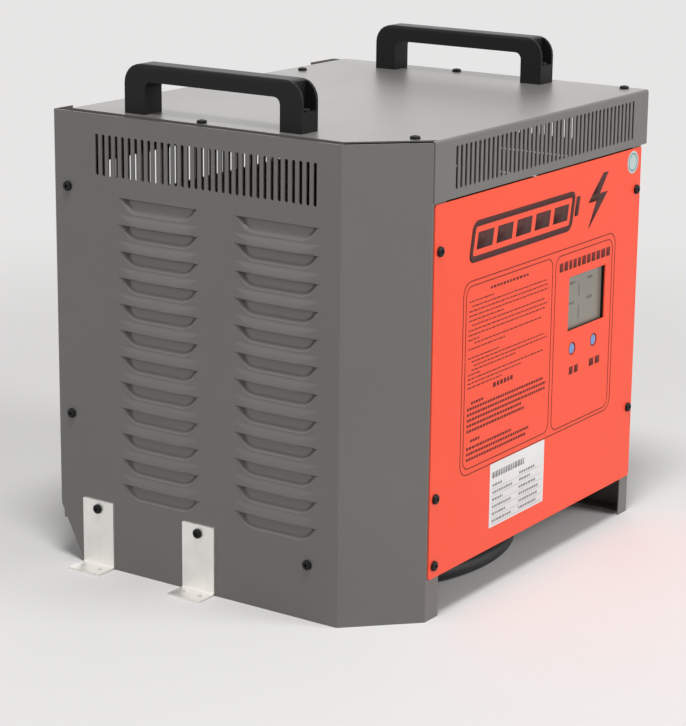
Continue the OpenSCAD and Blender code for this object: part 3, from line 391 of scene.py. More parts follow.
SMOOTH_ANGLE = math.radians(30.0)
SPAN_POINTS, CORNER_STEPS, CIRCLE_STEPS = 24, 7, 48
SIGN_LEAN = 0.2


class Shape:
    """Points and faces of one piece, gathered from arrays."""

    def __init__(self):
        self.points = []
        self.faces = []
        self.count = 0

    def add(self, points, faces):
        """Points with the faces that number them from 0."""
        flat = points.reshape(-1, 3)
        self.points.append(flat)
        self.faces += (faces + self.count).tolist()
        self.count += len(flat)
        return self

    def grid(self, points, wrap_rows=False, wrap_columns=False, caps=False):
        """A grid of points. A wrapped direction joins its last line to its first; caps closes the
        first and the last row with one face each."""
        start = self.count
        index = np.arange(points[..., 0].size).reshape(points.shape[:2])
        ends = index[[0, -1]]
        if wrap_rows:
            index = np.vstack([index, index[:1]])
        if wrap_columns:
            index = np.hstack([index, index[:, :1]])
        corners = [index[:-1, :-1], index[:-1, 1:], index[1:, 1:], index[1:, :-1]]
        self.add(points, np.stack(corners, axis=-1).reshape(-1, 4))
        if caps:
            self.faces += (start + ends).tolist()
        return self

    def tube(self, points):
        """A closed grid: its columns run round, and both ends have a cap."""
        return self.grid(points, wrap_columns=True, caps=True)

    def patches(self, points):
        """Loose four-cornered patches."""
        return self.add(points, np.arange(4 * len(points)).reshape(-1, 4))

    def build(self, name, material, slot, skin=0.0):
        """Makes the object: a skin that is so thick towards what carries it, or else a closed solid
        with its normals turned outwards."""
        mesh = bpy.data.meshes.new(name)
        mesh.from_pydata(np.vstack(self.points).tolist(), [], self.faces)
        mesh.validate()
        if not skin:
            solid = bmesh.new()
            solid.from_mesh(mesh)
            bmesh.ops.recalc_face_normals(solid, faces=solid.faces)
            solid.to_mesh(mesh)
            solid.free()
        mesh.materials.append(material)
        mesh.shade_smooth()
        mesh.set_sharp_from_angle(angle=SMOOTH_ANGLE)
        made = bpy.data.objects.new(name, mesh)
        bpy.context.scene.collection.objects.link(made)
        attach(made, CABINET)
        if skin:
            coat = made.modifiers.new("ink", "SOLIDIFY")
            coat.thickness = skin
            coat.offset = -1.0
        return made


def unit(vectors):
    """Vectors divided by their lengths."""
    return vectors / np.linalg.norm(vectors, axis=-1, keepdims=True)


def unit_circle(steps=CIRCLE_STEPS):
    """Points on a circle of radius 1: the cosine and the sine of even angles."""
    turn = np.linspace(0.0, 2 * np.pi, steps, endpoint=False)
    return np.stack([np.cos(turn), np.sin(turn)], axis=1)


def carried(path, radius, sides):
    """Circle carried along a path that is never upright: path + radius (side cos a + up sin a)."""
    along = unit(np.gradient(path, axis=0))
    side = unit(np.cross([0.0, 0.0, 1.0], along))
    up = np.cross(along, side)
    circle = unit_circle(sides)[None, :, :, None]
    ring = side[:, None] * circle[:, :, 0] + up[:, None] * circle[:, :, 1]
    return path[:, None] + ring * np.broadcast_to(radius, len(path))[:, None, None]


def smooth_through(points, step):
    """Catmull-Rom curve through the points, sampled about every step."""
    ends = np.vstack([2 * points[0] - points[1], points, 2 * points[-1] - points[-2]])
    p0, p1, p2, p3 = ends[:-3], ends[1:-2], ends[2:-1], ends[3:]
    share = np.linspace(0.0, 1.0, SPAN_POINTS, endpoint=False)[None, :, None]
    p0, p1, p2, p3 = (p[:, None] for p in (p0, p1, p2, p3))
    curve = 0.5 * (
        2 * p1
        + (p2 - p0) * share
        + (2 * p0 - 5 * p1 + 4 * p2 - p3) * share**2
        + (3 * p1 - p0 - 3 * p2 + p3) * share**3
    )
    return evenly(np.vstack([curve.reshape(-1, 3), points[-1:]]), step)


def evenly(curve, step):
    """The same curve with its points about one step apart."""
    run = np.concatenate([[0.0], np.cumsum(np.linalg.norm(np.diff(curve, axis=0), axis=1))])
    spots = np.linspace(0.0, run[-1], int(round(run[-1] / step)) + 1)
    return np.stack([np.interp(spots, run, curve[:, k]) for k in range(3)], axis=1)


def eased(value, low, high):
    """0 before low, 1 after high, and a smooth step between."""
    share = np.clip((value - low) / (high - low), 0.0, 1.0)
    return share * share * (3.0 - 2.0 * share)


def rounded_loop(low, high, radius):
    """Outline of a rectangle with round corners, as points of a plane."""
    turn = np.linspace(0.0, np.pi / 2, CORNER_STEPS)
    angle = (np.arange(4)[:, None] * np.pi / 2 + turn[None, :]).ravel()
    corner = np.array([high, [low[0], high[1]], low, [high[0], low[1]]])
    inward = np.array([[-1, -1], [1, -1], [1, 1], [-1, 1]]) * radius
    centre = np.repeat(corner + inward, CORNER_STEPS, axis=0)
    return centre + radius * np.stack([np.cos(angle), np.sin(angle)], axis=1)


def on_panel(spots, lift, face=PANEL_FACE):
    """Points given by x and z, raised by lift in front of the panel's face or another one."""
    depth = np.full(spots.shape[:-1], face - lift)
    return np.stack([spots[..., 0], depth, spots[..., 1]], axis=-1)


def boxes(low, high):
    """Four-cornered patches between low and high corners of the panel's plane."""
    right_low = np.stack([high[:, 0], low[:, 1]], axis=1)
    left_high = np.stack([low[:, 0], high[:, 1]], axis=1)
    return np.stack([low, right_low, high, left_high], axis=1)


def leaned(spots, foot):
    """Leans points of the panel's plane to the right as they rise above foot."""
    shift = (spots[..., 1] - foot) * SIGN_LEAN
    return spots + np.stack([shift, np.zeros_like(shift)], axis=-1)


# Colours of the pieces that hardly show, and the rolling directions of the metals

BOARD_GREEN, BRASS, SILVER = (0.012, 0.10, 0.035), (0.55, 0.42, 0.17), (0.72, 0.70, 0.66)
CORE_STEEL, WINDING_RED = (0.09, 0.085, 0.08), (0.42, 0.09, 0.035)
ALUMINIUM, PALE_PLASTIC = (0.66, 0.67, 0.68), (0.55, 0.52, 0.45)
LEAD_RED, STICKER_PALE, TEAL = (0.42, 0.012, 0.010), (0.50, 0.60, 0.58), (0.10, 0.27, 0.30)
ROLLED_UP, DRAWN_UP, TURNED = (1.0, 1.0, 0.05), (1.0, 1.0, 0.04), (1.0, 0.1, 1.0)


def finish_nodes(material, *names):
    """Puts a finish on CAD nodes."""
    for name in names:
        mesh = NODES[name].data
        mesh.materials.clear()
        mesh.materials.append(material)


class CHARGER_OT_sheets(bpy.types.Operator):
    """Finish the painted sheets, the base plate, with its zinc darkened as painted shade, and the
    brackets
    """

    bl_idname = "charger.sheets"
    bl_label = "Cabinet sheets"

    def execute(self, context):
        tone = context.scene.charger_colours
        paint = powder_coat("grey_powder_coat", tone.paint)
        finish_nodes(paint, "left_side_panel", "right_side_panel", "rear_panel", "top_cover")
        finish_nodes(panel_film("orange_film", tone.film), "front_panel")
        finish_nodes(
            plated("zinc_plate", tone.zinc, 0.34, ROLLED_UP),
            "rear_floor_bracket", "middle_floor_bracket", "core_clamps", "clamp_bolts",
        )
        # The base plate gets the zinc darkened to a quarter. This is painted shade for the shade it
        # lies in under the cabinet.
        dull_zinc = plated("dull_zinc", tinted(tone.zinc, 0.25), 0.50, ROLLED_UP)
        finish_nodes(dull_zinc, "base_plate")
        return {"FINISHED"}


# Pressed louvers: the sizes and places are those of the CAD solids

LOUVER_L, LOUVER_H, LOUVER_D = 0.110, 0.017, 0.007
LOUVER_TAPER, LOUVER_RIM, LOUVER_LIP = 0.013, 0.0025, 0.002
LOUVER_TOP, LOUVER_PITCH, LOUVER_ROWS = 0.431, 0.326 / 11, 12
LOUVER_REAR, LOUVER_APART, SHEET = 0.226, 0.158, 0.0015

# The skin over a hollow: its reach under the sheet, its rounds, its rolled edge and its net
LOUVER_MARGIN, LOUVER_SKIN, FLOOR_CLEAR = 0.0008, 0.00006, 0.0001
CORNER_REACH, FLOOR_REACH, ROLL_R, ROLL_SLOPE = 0.0083, 0.0012, 0.0017, 1.25
HOLLOW_ENDS, HOLLOW_COLUMNS, HOLLOW_ROWS = 0.030, 22, 19

# The skin over a strip
STRIP_OVER, STRIP_EASE, STRIP_REACH, STRIP_SUNK = 0.004, 0.034, 0.0008, 0.00005
STRIP_ENDS, STRIP_COLUMNS, STRIP_ROWS = 0.015, 20, 9


def least(first, second, reach):
    """The smaller of two fields, rounded off where they come within reach of each other."""
    near = np.clip(1.0 - np.abs(first - second) / reach, 0.0, 1.0)
    return np.minimum(first, second) - near * near * reach / 4


def louver_net(inner, outer, top, foot, columns, rows):
    """Grid over one louver, fine at its two ends: heights above the cut and distances along it."""
    ends = np.linspace(inner, outer, columns)
    along = np.concatenate([-ends[::-1], ends])
    return np.meshgrid(np.linspace(top, foot, rows), along, indexing="ij")


def pressed_hollow():
    """Hollow of a louver: inside a tapered outline with round corners the depth grows as a
    parabola, then as a steady slope, and meets the sloping floor in a round."""
    half, foot = LOUVER_L / 2, -LOUVER_H - LOUVER_MARGIN
    end = half + LOUVER_MARGIN
    rise, along = louver_net(HOLLOW_ENDS, end, 0.0, foot, HOLLOW_COLUMNS, HOLLOW_ROWS)
    slant = math.hypot(LOUVER_TAPER, LOUVER_H)
    side = ((half - np.abs(along)) * LOUVER_H + rise * LOUVER_TAPER) / slant
    inside = least(side, rise + LOUVER_H, CORNER_REACH)
    curved, straight = ROLL_SLOPE * inside**2 / (4 * ROLL_R), ROLL_SLOPE * (inside - ROLL_R)
    rolled = np.where(inside < 2 * ROLL_R, curved, straight)
    rolled = np.where(inside < 0.0, np.minimum(-inside, LOUVER_MARGIN), rolled)
    slope = (LOUVER_D - LOUVER_RIM) / (LOUVER_H - LOUVER_RIM)
    floor = LOUVER_RIM + (rise + LOUVER_H - LOUVER_RIM) * slope - FLOOR_CLEAR
    return along, rise, least(rolled, floor, FLOOR_REACH)


def standing_strip():
    """Strip of sheet above a cut: it stands out most at its free edge, and eases back into the
    sheet at its top and, a little past the cut, at its two ends."""
    half, height = LOUVER_L / 2, LOUVER_PITCH - LOUVER_H - SHEET
    rise, along = louver_net(STRIP_ENDS, half + STRIP_OVER, height, 0.0, STRIP_COLUMNS, STRIP_ROWS)
    at_end = LOUVER_LIP * eased(half + STRIP_OVER - np.abs(along), 0.0, STRIP_EASE)
    stand = least(LOUVER_LIP * (1.0 - rise / height), at_end, STRIP_REACH)
    cover = STRIP_REACH / 4 * eased(stand, 0.0, LOUVER_LIP / 2)
    return along, rise, STRIP_SUNK - stand - cover


class CHARGER_OT_louvers(bpy.types.Operator):
    """Dress the louvers of both sides with rolled edges, and the left strips with soft ends"""

    bl_idname = "charger.louvers"
    bl_label = "Louvers"

    def execute(self, context):
        hollow, strip = pressed_hollow(), standing_strip()
        for name, outwards in (("left", -1.0), ("right", 1.0)):
            low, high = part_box(name + "_side_panel")
            face = low.x + LOUVER_LIP if outwards < 0 else high.x
            shape = Shape()
            for column in (-0.5, 0.5):
                y = high.y - LOUVER_REAR + column * LOUVER_APART
                for row in range(LOUVER_ROWS):
                    z = LOUVER_TOP - row * LOUVER_PITCH
                    has_strip = outwards < 0 and row > 0
                    for along, rise, depth in [hollow, strip] if has_strip else [hollow]:
                        spots = [face - outwards * depth, y - outwards * along, z + rise]
                        shape.grid(np.stack(spots, axis=-1))
            paint = NODES[name + "_side_panel"].data.materials[0]
            shape.build(name + "_louver_edges", paint, "grey_paint", LOUVER_SKIN)
        return {"FINISHED"}


class CHARGER_OT_fittings(bpy.types.Operator):
    """Finish the handles, the screws and the glands"""

    bl_idname = "charger.fittings"
    bl_label = "Handles, screws and glands"

    def execute(self, context):
        tone = context.scene.charger_colours
        finish_nodes(
            moulded("black_moulding", tone.moulding, 0.40),
            "left_handle", "right_handle", "lcd_frame", "button_switches", "rectifier_modules",
            "terminal_block", "dc_gland", "mains_gland",
        )
        finish_nodes(
            moulded("black_screw", tone.screw, 0.30, 0.00003),
            "handle_screws", "top_cover_screws", "side_panel_screws", "front_panel_screws",
            "bracket_screws",
        )
        return {"FINISHED"}


class CHARGER_OT_power_parts(bpy.types.Operator):
    """Finish the parts inside the cabinet"""

    bl_idname = "charger.power_parts"
    bl_label = "Power parts"

    def execute(self, context):
        tone = context.scene.charger_colours
        for finish, names in (
            (circuit_board("green_board", BOARD_GREEN), ("display_board", "control_board")),
            (plated("brass_stud", BRASS, 0.25, TURNED), ("display_spacers", "board_spacers")),
            (laminated_core("core_laminations", CORE_STEEL), ("transformer_core", "choke_core")),
            (varnished_winding("red_winding", WINDING_RED), ("transformer_coils", "choke_coil")),
            (plated("sink_aluminium", ALUMINIUM, 0.30, DRAWN_UP), ("heat_sink",)),
            (moulded("pale_moulding", PALE_PLASTIC), ("contactor", "dc_fuse")),
            (rubber_sheath("red_insulation", LEAD_RED), ("positive_lead",)),
        ):
            finish_nodes(finish, *names)
        finish_nodes(rubber_sheath("black_insulation", tone.rubber), "negative_lead")
        return {"FINISHED"}


# Charging cable: the route's points are those of the CAD solids

ROUTE = MM * np.array([
    [97, 295, 94], [82, 335, 76], [45, 365, 50], [-5, 372, 26], [-60, 355, 12], [-102, 315, 10],
    [-127, 260, 10], [-138, 200, 10], [-143, 140, 10], [-147, 80, 10], [-150, 20, 10],
    [-147, -40, 10], [-137, -95, 10], [-115, -145, 10], [-78, -180, 10], [-35, -194, 10],
    [8, -197, 10], [49, -191, 10], [88, -176, 10], [120, -150, 10], [141, -114, 10],
    [151, -73, 10], [155, -30, 10],
])
TAIL = MM * np.array([
    [100, -76, 30.4], [135, -62, 30.4], [165, -48, 30.4], [192, -28, 26], [212, 2, 18],
    [222, 38, 14], [225, 70, 13.5], [225, 90, 13.5],
])
COIL_AT = MM * np.array([30, 10])
OUTER_R, INNER_R = 0.125, 0.105
FLOOR_Z, OVER_Z = 0.010, 0.0304

# Coil, in degrees of its turns: where it goes over into the inner turn, where its end climbs
INWARD_FROM, INWARD_TO, CLIMB_FROM, COIL_END, COIL_POINTS = 275.0, 355.0, 590.0, 650.0, 66
EXIT_RUN, PATH_STEP, CABLE_SIDES = 0.022, 0.006, 20

# Sleeves: how much wider than the cable they are at both ends, and their ribs
RELIEF_WIDE, BOOT_WIDE, SLEEVE_NARROW = 0.0045, 0.0022, 0.0009
RELIEF_RIBS, BOOT_RIBS, RIB_H, RIB_POINTS, SLEEVE_SIDES = 6, 5, 0.0011, 12, 32

# Tie: room beside, below and above the turns, its thickness, its corners to the cable's diameter
TIE_BESIDE, TIE_BELOW, TIE_ABOVE, TIE_T, TIE_ROUND = 0.0006, 0.0002, 0.0008, 0.0009, 0.47


def coil_turns():
    """Flat coil: the outer turn eases into the inner one, and the end climbs over it to leave along
    its tangent."""
    angle = np.linspace(0.0, COIL_END, COIL_POINTS)
    radius = OUTER_R + (INNER_R - OUTER_R) * eased(angle, INWARD_FROM, INWARD_TO)
    height = FLOOR_Z + (OVER_Z - FLOOR_Z) * eased(angle, CLIMB_FROM, COIL_END)
    turn = np.radians(angle)
    x, y = COIL_AT[0] + radius * np.cos(turn), COIL_AT[1] + radius * np.sin(turn)
    return np.stack([x, y, height], axis=1)


def cable_path():
    """The whole cable from the gland's end to the connector's back, on one smooth curve that stays
    on the floor."""
    x, z = (GLAND_LOW.x + GLAND_HIGH.x) / 2, (GLAND_LOW.z + GLAND_HIGH.z) / 2
    exits = np.array([[x, GLAND_HIGH.y, z], [x, GLAND_HIGH.y + EXIT_RUN, z]])
    path = smooth_through(np.vstack([exits, ROUTE, coil_turns(), TAIL]), PATH_STEP)
    path[:, 2] = np.maximum(path[:, 2], FLOOR_Z)
    return path


def sleeve(start, along, length, wide, narrow, ribs):
    """Tapered sleeve with rounded ribs: its radius falls from wide to narrow, with a cosine ripple
    that fades out."""
    share = np.linspace(0.0, 1.0, RIB_POINTS * ribs + 1)
    ripple = RIB_H * np.cos(2 * np.pi * ribs * share) * (1.0 - share)
    radius = wide + (narrow - wide) * share + ripple
    path = start + np.outer(share * length, along)
    return carried(path, radius, SLEEVE_SIDES)


class CHARGER_OT_charging_cable(bpy.types.Operator):
    """Make the charging cable with its sleeve, boot and tie, and finish the connector"""

    bl_idname = "charger.charging_cable"
    bl_label = "Charging cable"

    def execute(self, context):
        size, tone = context.scene.charger_sizes, context.scene.charger_colours
        rubber = rubber_sheath("cable_sheath", tone.rubber)
        boot_black = moulded("relief_moulding", tone.moulding, 0.5)
        path = cable_path()
        radius = size.cable_d / 2
        cable = Shape().tube(carried(path, radius, CABLE_SIDES))
        cable = cable.build("charging_cable_drawn", rubber, "cable_rubber")
        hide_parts("charging_cable", "cable_coil", "cable_tail")

        narrow = radius + SLEEVE_NARROW
        relief, boot = (
            Shape().tube(sleeve(*form, narrow, ribs)).build(name, boot_black, "black_plastic")
            for name, ribs, form in (
                ("cable_relief", RELIEF_RIBS,
                 (path[0], (0.0, 1.0, 0.0), size.relief_l, radius + RELIEF_WIDE)),
                ("connector_boot", BOOT_RIBS,
                 (path[-1], (0.0, -1.0, 0.0), size.boot_l, radius + BOOT_WIDE)),
            )
        )
        tie = self.tie(size).build("coil_tie", boot_black, "black_plastic")

        finish_nodes(moulded("red_moulding", tone.plug, 0.42), "battery_connector")
        finish_nodes(plated("silver_contact", SILVER, 0.22, TURNED), "connector_contacts")
        return {"FINISHED"}

    def tie(self, size):
        """Band round both turns on the coil's left: a flat section along a rounded rectangle."""
        radius, round_r = size.cable_d / 2, size.cable_d * TIE_ROUND
        low = np.array([INNER_R - radius - TIE_BESIDE, TIE_BELOW])
        high = np.array([OUTER_R + radius + TIE_BESIDE, size.cable_d + TIE_ABOVE])
        outer = rounded_loop(low, high, round_r)
        inner = rounded_loop(low + TIE_T, high - TIE_T, round_r - TIE_T)
        half = size.tie_w / 2
        ring = []
        for loop, y in ((outer, -half), (outer, half), (inner, half), (inner, -half)):
            across = np.full(len(loop), COIL_AT[1] + y)
            ring.append(np.stack([COIL_AT[0] - loop[:, 0], across, loop[:, 1]], axis=1))
        return Shape().grid(np.stack(ring, axis=1), wrap_rows=True, wrap_columns=True)


# Print on the operating panel, in metres on the panel's plane

FRAME_BOX = MM * np.array([[-127.5, 145.5], [213.0, 362.0]])
TEXT_BOX = MM * np.array([[-121.7, 152.0], [64.6, 356.6]])
KEY_BOX = MM * np.array([[70.7, 150.0], [206.5, 355.4]])
TITLE_LOW, TITLE_HIGH = MM * np.array([-119.0, 381.0]), MM * np.array([104.0, 426.0])
CAPTION_ROW = MM * np.array([[80.0, 335.6], [200.0, 346.0]])
KEY_CAPTIONS = MM * np.array([
    [[110.0, 209.5], [131.0, 218.5]],
    [[158.0, 209.5], [183.0, 218.5]],
])
FRAME_R, TEXT_R, KEY_R, KEY_GLYPH = 0.0150, 0.0115, 0.0125, 0.42
TEXT_LEFT, TEXT_RIGHT = 0.007, 0.009
PRINT_SEED, BARS_PER_ROW, SHORTEST_BAR = 11, 48, 0.4

# Rows of the text box: tops and insets in millimetres, and ends as shares of the box's width
SMALL_ROWS = (
    (339.5, 334.0, 328.8, 323.6, 318.4, 313.0, 307.6, 302.4, 297.2, 292.6, 287.0, 277.0, 272.4,
     267.6, 263.0, 258.4, 253.6, 248.8, 244.0),
    (0, 6, 0, 0, 0, 6, 0, 0, 0, 12, 0, 0, 7, 12, 7, 0, 0, 0, 0),
    (.31, .97, 1, 1, .42, .95, .99, .96, .13, .92, .45, .38, .95, 1, .60, .15, .95, .66, .42),
)
LARGE_ROWS = (
    (227.0, 221.0, 214.8, 208.6, 202.4, 196.2, 184.4, 176.6, 170.4, 164.2),
    (8, 0, 0, 0, 0, 0, 8, 0, 0, 0),
    (.20, .97, 1, .99, .69, .72, .17, .56, .79, .76),
)
# Two headings: left ends, right ends, tops and heights in millimetres
HEAD_ROWS = ((-71.0, -61.0), (12.0, -19.0), (348.6, 238.5), (2.8, 5.0))
# Bars: their height in the text box, then the shortest and the longest one, and the gap
SMALL_BARS, LARGE_BARS = (0.0013, (0.003, 0.009), 0.0016), (0.0030, (0.003, 0.005), 0.0013)
HEAD_BARS, CAPTION_BARS = ((0.0035, 0.006), 0.0022), ((0.006, 0.010), 0.0028)

# Battery sign: its corners, wall and charge bars, and the corners of its terminal and of the bolt
SIGN_R, SIGN_WALL, SIGN_INSET, SIGN_BARS, SIGN_GAP = 0.0100, 0.0068, 0.0065, 5, 0.0085
TERMINAL = MM * np.array([[3.0, 15.0], [12.0, 37.0]])
BOLT_AT = MM * np.array([26, 0])
BOLT = MM * np.array([
    [[14, 33], [33, 33], [48, 56], [36, 56]],
    [[8, 25], [45, 25], [52, 33], [14, 33]],
    [[15, -4], [17, -4], [45, 25], [27, 25]],
])


def frame_line(box, radius, width):
    """Line of even width along a rectangle with round corners."""
    outer = rounded_loop(box[0], box[1], radius)
    inner = rounded_loop(box[0] + width, box[1] - width, radius - width)
    return np.stack([inner, outer])


def word_rows(draw, left, right, tops, heights, word, gap):
    """Rows of bars in place of words: random lengths, laid end to end and cut at each row's own
    right end."""
    lengths = draw.uniform(word[0], word[1], (len(tops), BARS_PER_ROW))
    ends = left[:, None] + np.cumsum(lengths + gap, axis=1) - gap
    starts = ends - lengths
    ends = np.minimum(ends, right[:, None])
    keep = ends - starts > word[0] * SHORTEST_BAR
    high = np.broadcast_to(tops[:, None], keep.shape)[keep]
    low = np.broadcast_to((tops - heights)[:, None], keep.shape)[keep]
    return boxes(np.stack([starts[keep], low], 1), np.stack([ends[keep], high], 1))


def text_rows(draw, rows, height, word, gap):
    """Rows of bars in the text box, each from its inset to its share of the box's width."""
    tops, insets, ends = (np.array(row, float) for row in rows)
    left, right = TEXT_BOX[0, 0] + TEXT_LEFT, TEXT_BOX[1, 0] - TEXT_RIGHT
    stops = left + (right - left) * ends
    heights = np.full(len(tops), height)
    return word_rows(draw, left + MM * insets, stops, MM * tops, heights, word, gap)


class CHARGER_OT_panel_print(bpy.types.Operator):
    """Print the frame lines, the rows of bars and the battery sign on the panel"""

    bl_idname = "charger.panel_print"
    bl_label = "Panel print"

    def execute(self, context):
        size, tone = context.scene.charger_sizes, context.scene.charger_colours
        ink = printed_ink("dark_print", tone.ink)
        fine = printed_ink("fine_print", tone.fine_ink, 0.55)
        for name, material, loops, patches in (
            ("panel_frame_lines", fine, self.lines(size), []),
            ("panel_rows", fine, [], self.rows()),
            ("panel_battery_sign", ink, *self.sign()),
        ):
            shape = Shape()
            for spots in loops:
                shape.grid(on_panel(spots, size.ink_t), wrap_columns=True)
            for spots in patches:
                shape.patches(on_panel(spots, size.ink_t))
            shape.build(name, material, "orange_panel", size.ink_t)
        return {"FINISHED"}

    def lines(self, size):
        """Outer frame and the two boxes in it."""
        boxed = ((FRAME_BOX, FRAME_R), (TEXT_BOX, TEXT_R), (KEY_BOX, KEY_R))
        return [frame_line(box, radius, size.line_w) for box, radius in boxed]

    def rows(self):
        """Bars in place of the instructions, the heading over the display and the captions of the
        buttons."""
        draw = np.random.default_rng(PRINT_SEED)
        body = text_rows(draw, SMALL_ROWS, *SMALL_BARS)
        notes = text_rows(draw, LARGE_ROWS, *LARGE_BARS)
        heads = word_rows(draw, *(MM * np.array(HEAD_ROWS)), *HEAD_BARS)
        low, high = CAPTION_ROW[:1], CAPTION_ROW[1:]
        heights = high[:, 1] - low[:, 1]
        caption = word_rows(draw, low[:, 0], high[:, 0], high[:, 1], heights, *CAPTION_BARS)
        low, high = KEY_CAPTIONS[:, 0], KEY_CAPTIONS[:, 1]
        glyph = (high - low) * [KEY_GLYPH, 1.0]
        keys = boxes(np.vstack([low, high - glyph]), np.vstack([low + glyph, high]))
        return [body, notes, heads, caption, keys]

    def sign(self):
        """Leaning battery with five charge bars, its terminal, and a bolt beside it."""
        foot = TITLE_LOW[1]
        case = frame_line(np.stack([TITLE_LOW, TITLE_HIGH]), SIGN_R, SIGN_WALL)
        low, high = TITLE_LOW + SIGN_WALL + SIGN_INSET, TITLE_HIGH - SIGN_WALL - SIGN_INSET
        width = (high[0] - low[0] - (SIGN_BARS - 1) * SIGN_GAP) / SIGN_BARS
        starts = low[0] + np.arange(SIGN_BARS) * (width + SIGN_GAP)
        feet, tops = np.full(SIGN_BARS, low[1]), np.full(SIGN_BARS, high[1])
        bars = boxes(np.stack([starts, feet], 1), np.stack([starts + width, tops], 1))
        corner = np.array([TITLE_HIGH[0], foot])
        terminal = boxes(corner + TERMINAL[:1], corner + TERMINAL[1:])
        flat = (bars, terminal, BOLT + corner + BOLT_AT)
        return [leaned(case, foot)], [leaned(part, foot) for part in flat]


# Rating plate and sticker, in metres on the panel's plane

PLATE_BOX = MM * np.array([[-63.0, 71.0], [57.0, 145.0]])
STICKER_AT = MM * np.array([249.5, 439.0])
PLATE_R, PLATE_EDGE, PLATE_SEED = 0.0015, 0.005, 5
STICKER_T, RING_INNER, RING_OUTER = 0.00015, 0.70, 0.80
BEVEL_IN, BEVEL_BACK = 0.997, 0.8

# Print of the rating plate: its heading, its entries in two columns, and the rules under them
HEADING_END, HEADING_DROP, HEADING_H, HEADING_BARS = 0.074, 0.010, 0.0072, ((0.003, 0.0052), 0.0016)
ENTRY_ROWS, ENTRY_DROP, ENTRY_STEP, ENTRY_H = 6, 0.024, 0.0083, 0.0030
ENTRY_STARTS, ENTRY_LENGTHS, ENTRY_BARS = (0.006, 0.064), (0.020, 0.044), ((0.0026, 0.005), 0.0014)
RULE_LOW, RULE_HIGH = 0.0056, 0.0053


def slab(loop, front):
    """Prism on the panel over an outline, with a hair of a bevel at its front."""
    centre = loop.mean(axis=0)
    edge = centre + (loop - centre) * BEVEL_IN
    layers = ((edge, front), (loop, front * BEVEL_BACK), (loop, 0.0))
    return Shape().tube(np.stack([on_panel(spots, lift) for spots, lift in layers]))


class CHARGER_OT_plates(bpy.types.Operator):
    """Make the ruled rating plate and the round sticker"""

    bl_idname = "charger.plates"
    bl_label = "Plate and sticker"

    def execute(self, context):
        size, tone = context.scene.charger_sizes, context.scene.charger_colours
        foil = silver_foil("silver_plate", tone.plate)
        plate = slab(rounded_loop(*PLATE_BOX, PLATE_R), size.plate_t)
        plate.build("rating_plate", foil, "orange_panel")
        grey = printed_ink("grey_print", tone.grey_ink, 0.5)
        rows = Shape().patches(on_panel(self.rows(), size.plate_t + size.ink_t))
        rows.build("rating_plate_rows", grey, "orange_panel", size.ink_t)

        ring = unit_circle() * size.sticker_d / 2
        pale = silver_foil("pale_sticker", STICKER_PALE)
        slab(STICKER_AT + ring, STICKER_T).build("round_sticker", pale, "orange_panel")
        band = np.stack([STICKER_AT + ring * RING_INNER, STICKER_AT + ring * RING_OUTER])
        band = Shape().grid(on_panel(band, STICKER_T + size.ink_t), wrap_columns=True)
        teal = printed_ink("teal_print", TEAL, 0.4)
        band.build("round_sticker_ring", teal, "orange_panel", size.ink_t)
        return {"FINISHED"}

    def rows(self):
        """A heading bar, short entries in two columns and the rules under them."""
        low, high = PLATE_BOX
        draw = np.random.default_rng(PLATE_SEED)
        left, right = low[0] + PLATE_EDGE, high[0] - PLATE_EDGE
        heading = (left, low[0] + HEADING_END, high[1] - HEADING_DROP, HEADING_H)
        head = word_rows(draw, *(np.array([value]) for value in heading), *HEADING_BARS)
        tops = high[1] - ENTRY_DROP - ENTRY_STEP * np.arange(ENTRY_ROWS)
        heights = np.full(ENTRY_ROWS, ENTRY_H)
        entries = []
        for start in ENTRY_STARTS:
            starts = np.full(ENTRY_ROWS, low[0] + start)
            stops = starts + draw.uniform(*ENTRY_LENGTHS, ENTRY_ROWS)
            entries.append(word_rows(draw, starts, stops, tops, heights, *ENTRY_BARS))
        lefts, rights = np.full(ENTRY_ROWS, left), np.full(ENTRY_ROWS, right)
        rules = boxes(
            np.stack([lefts, tops - RULE_LOW], 1), np.stack([rights, tops - RULE_HIGH], 1)
        )
        return np.vstack([head, *entries, rules])


# Marks in the display: places as shares of the glass, and sizes in millimetres

LABEL_COLUMNS, LABEL_ROWS, LABEL_SIZE = (0.13, 0.61), (0.82, 0.45), (11.0, 3.0)
BAR_COLUMN, BAR_ROWS, BAR_STEPS, BAR_SIZE = 0.37, (0.56, 0.15), (0.0, 0.12), (1.8, 7.6)


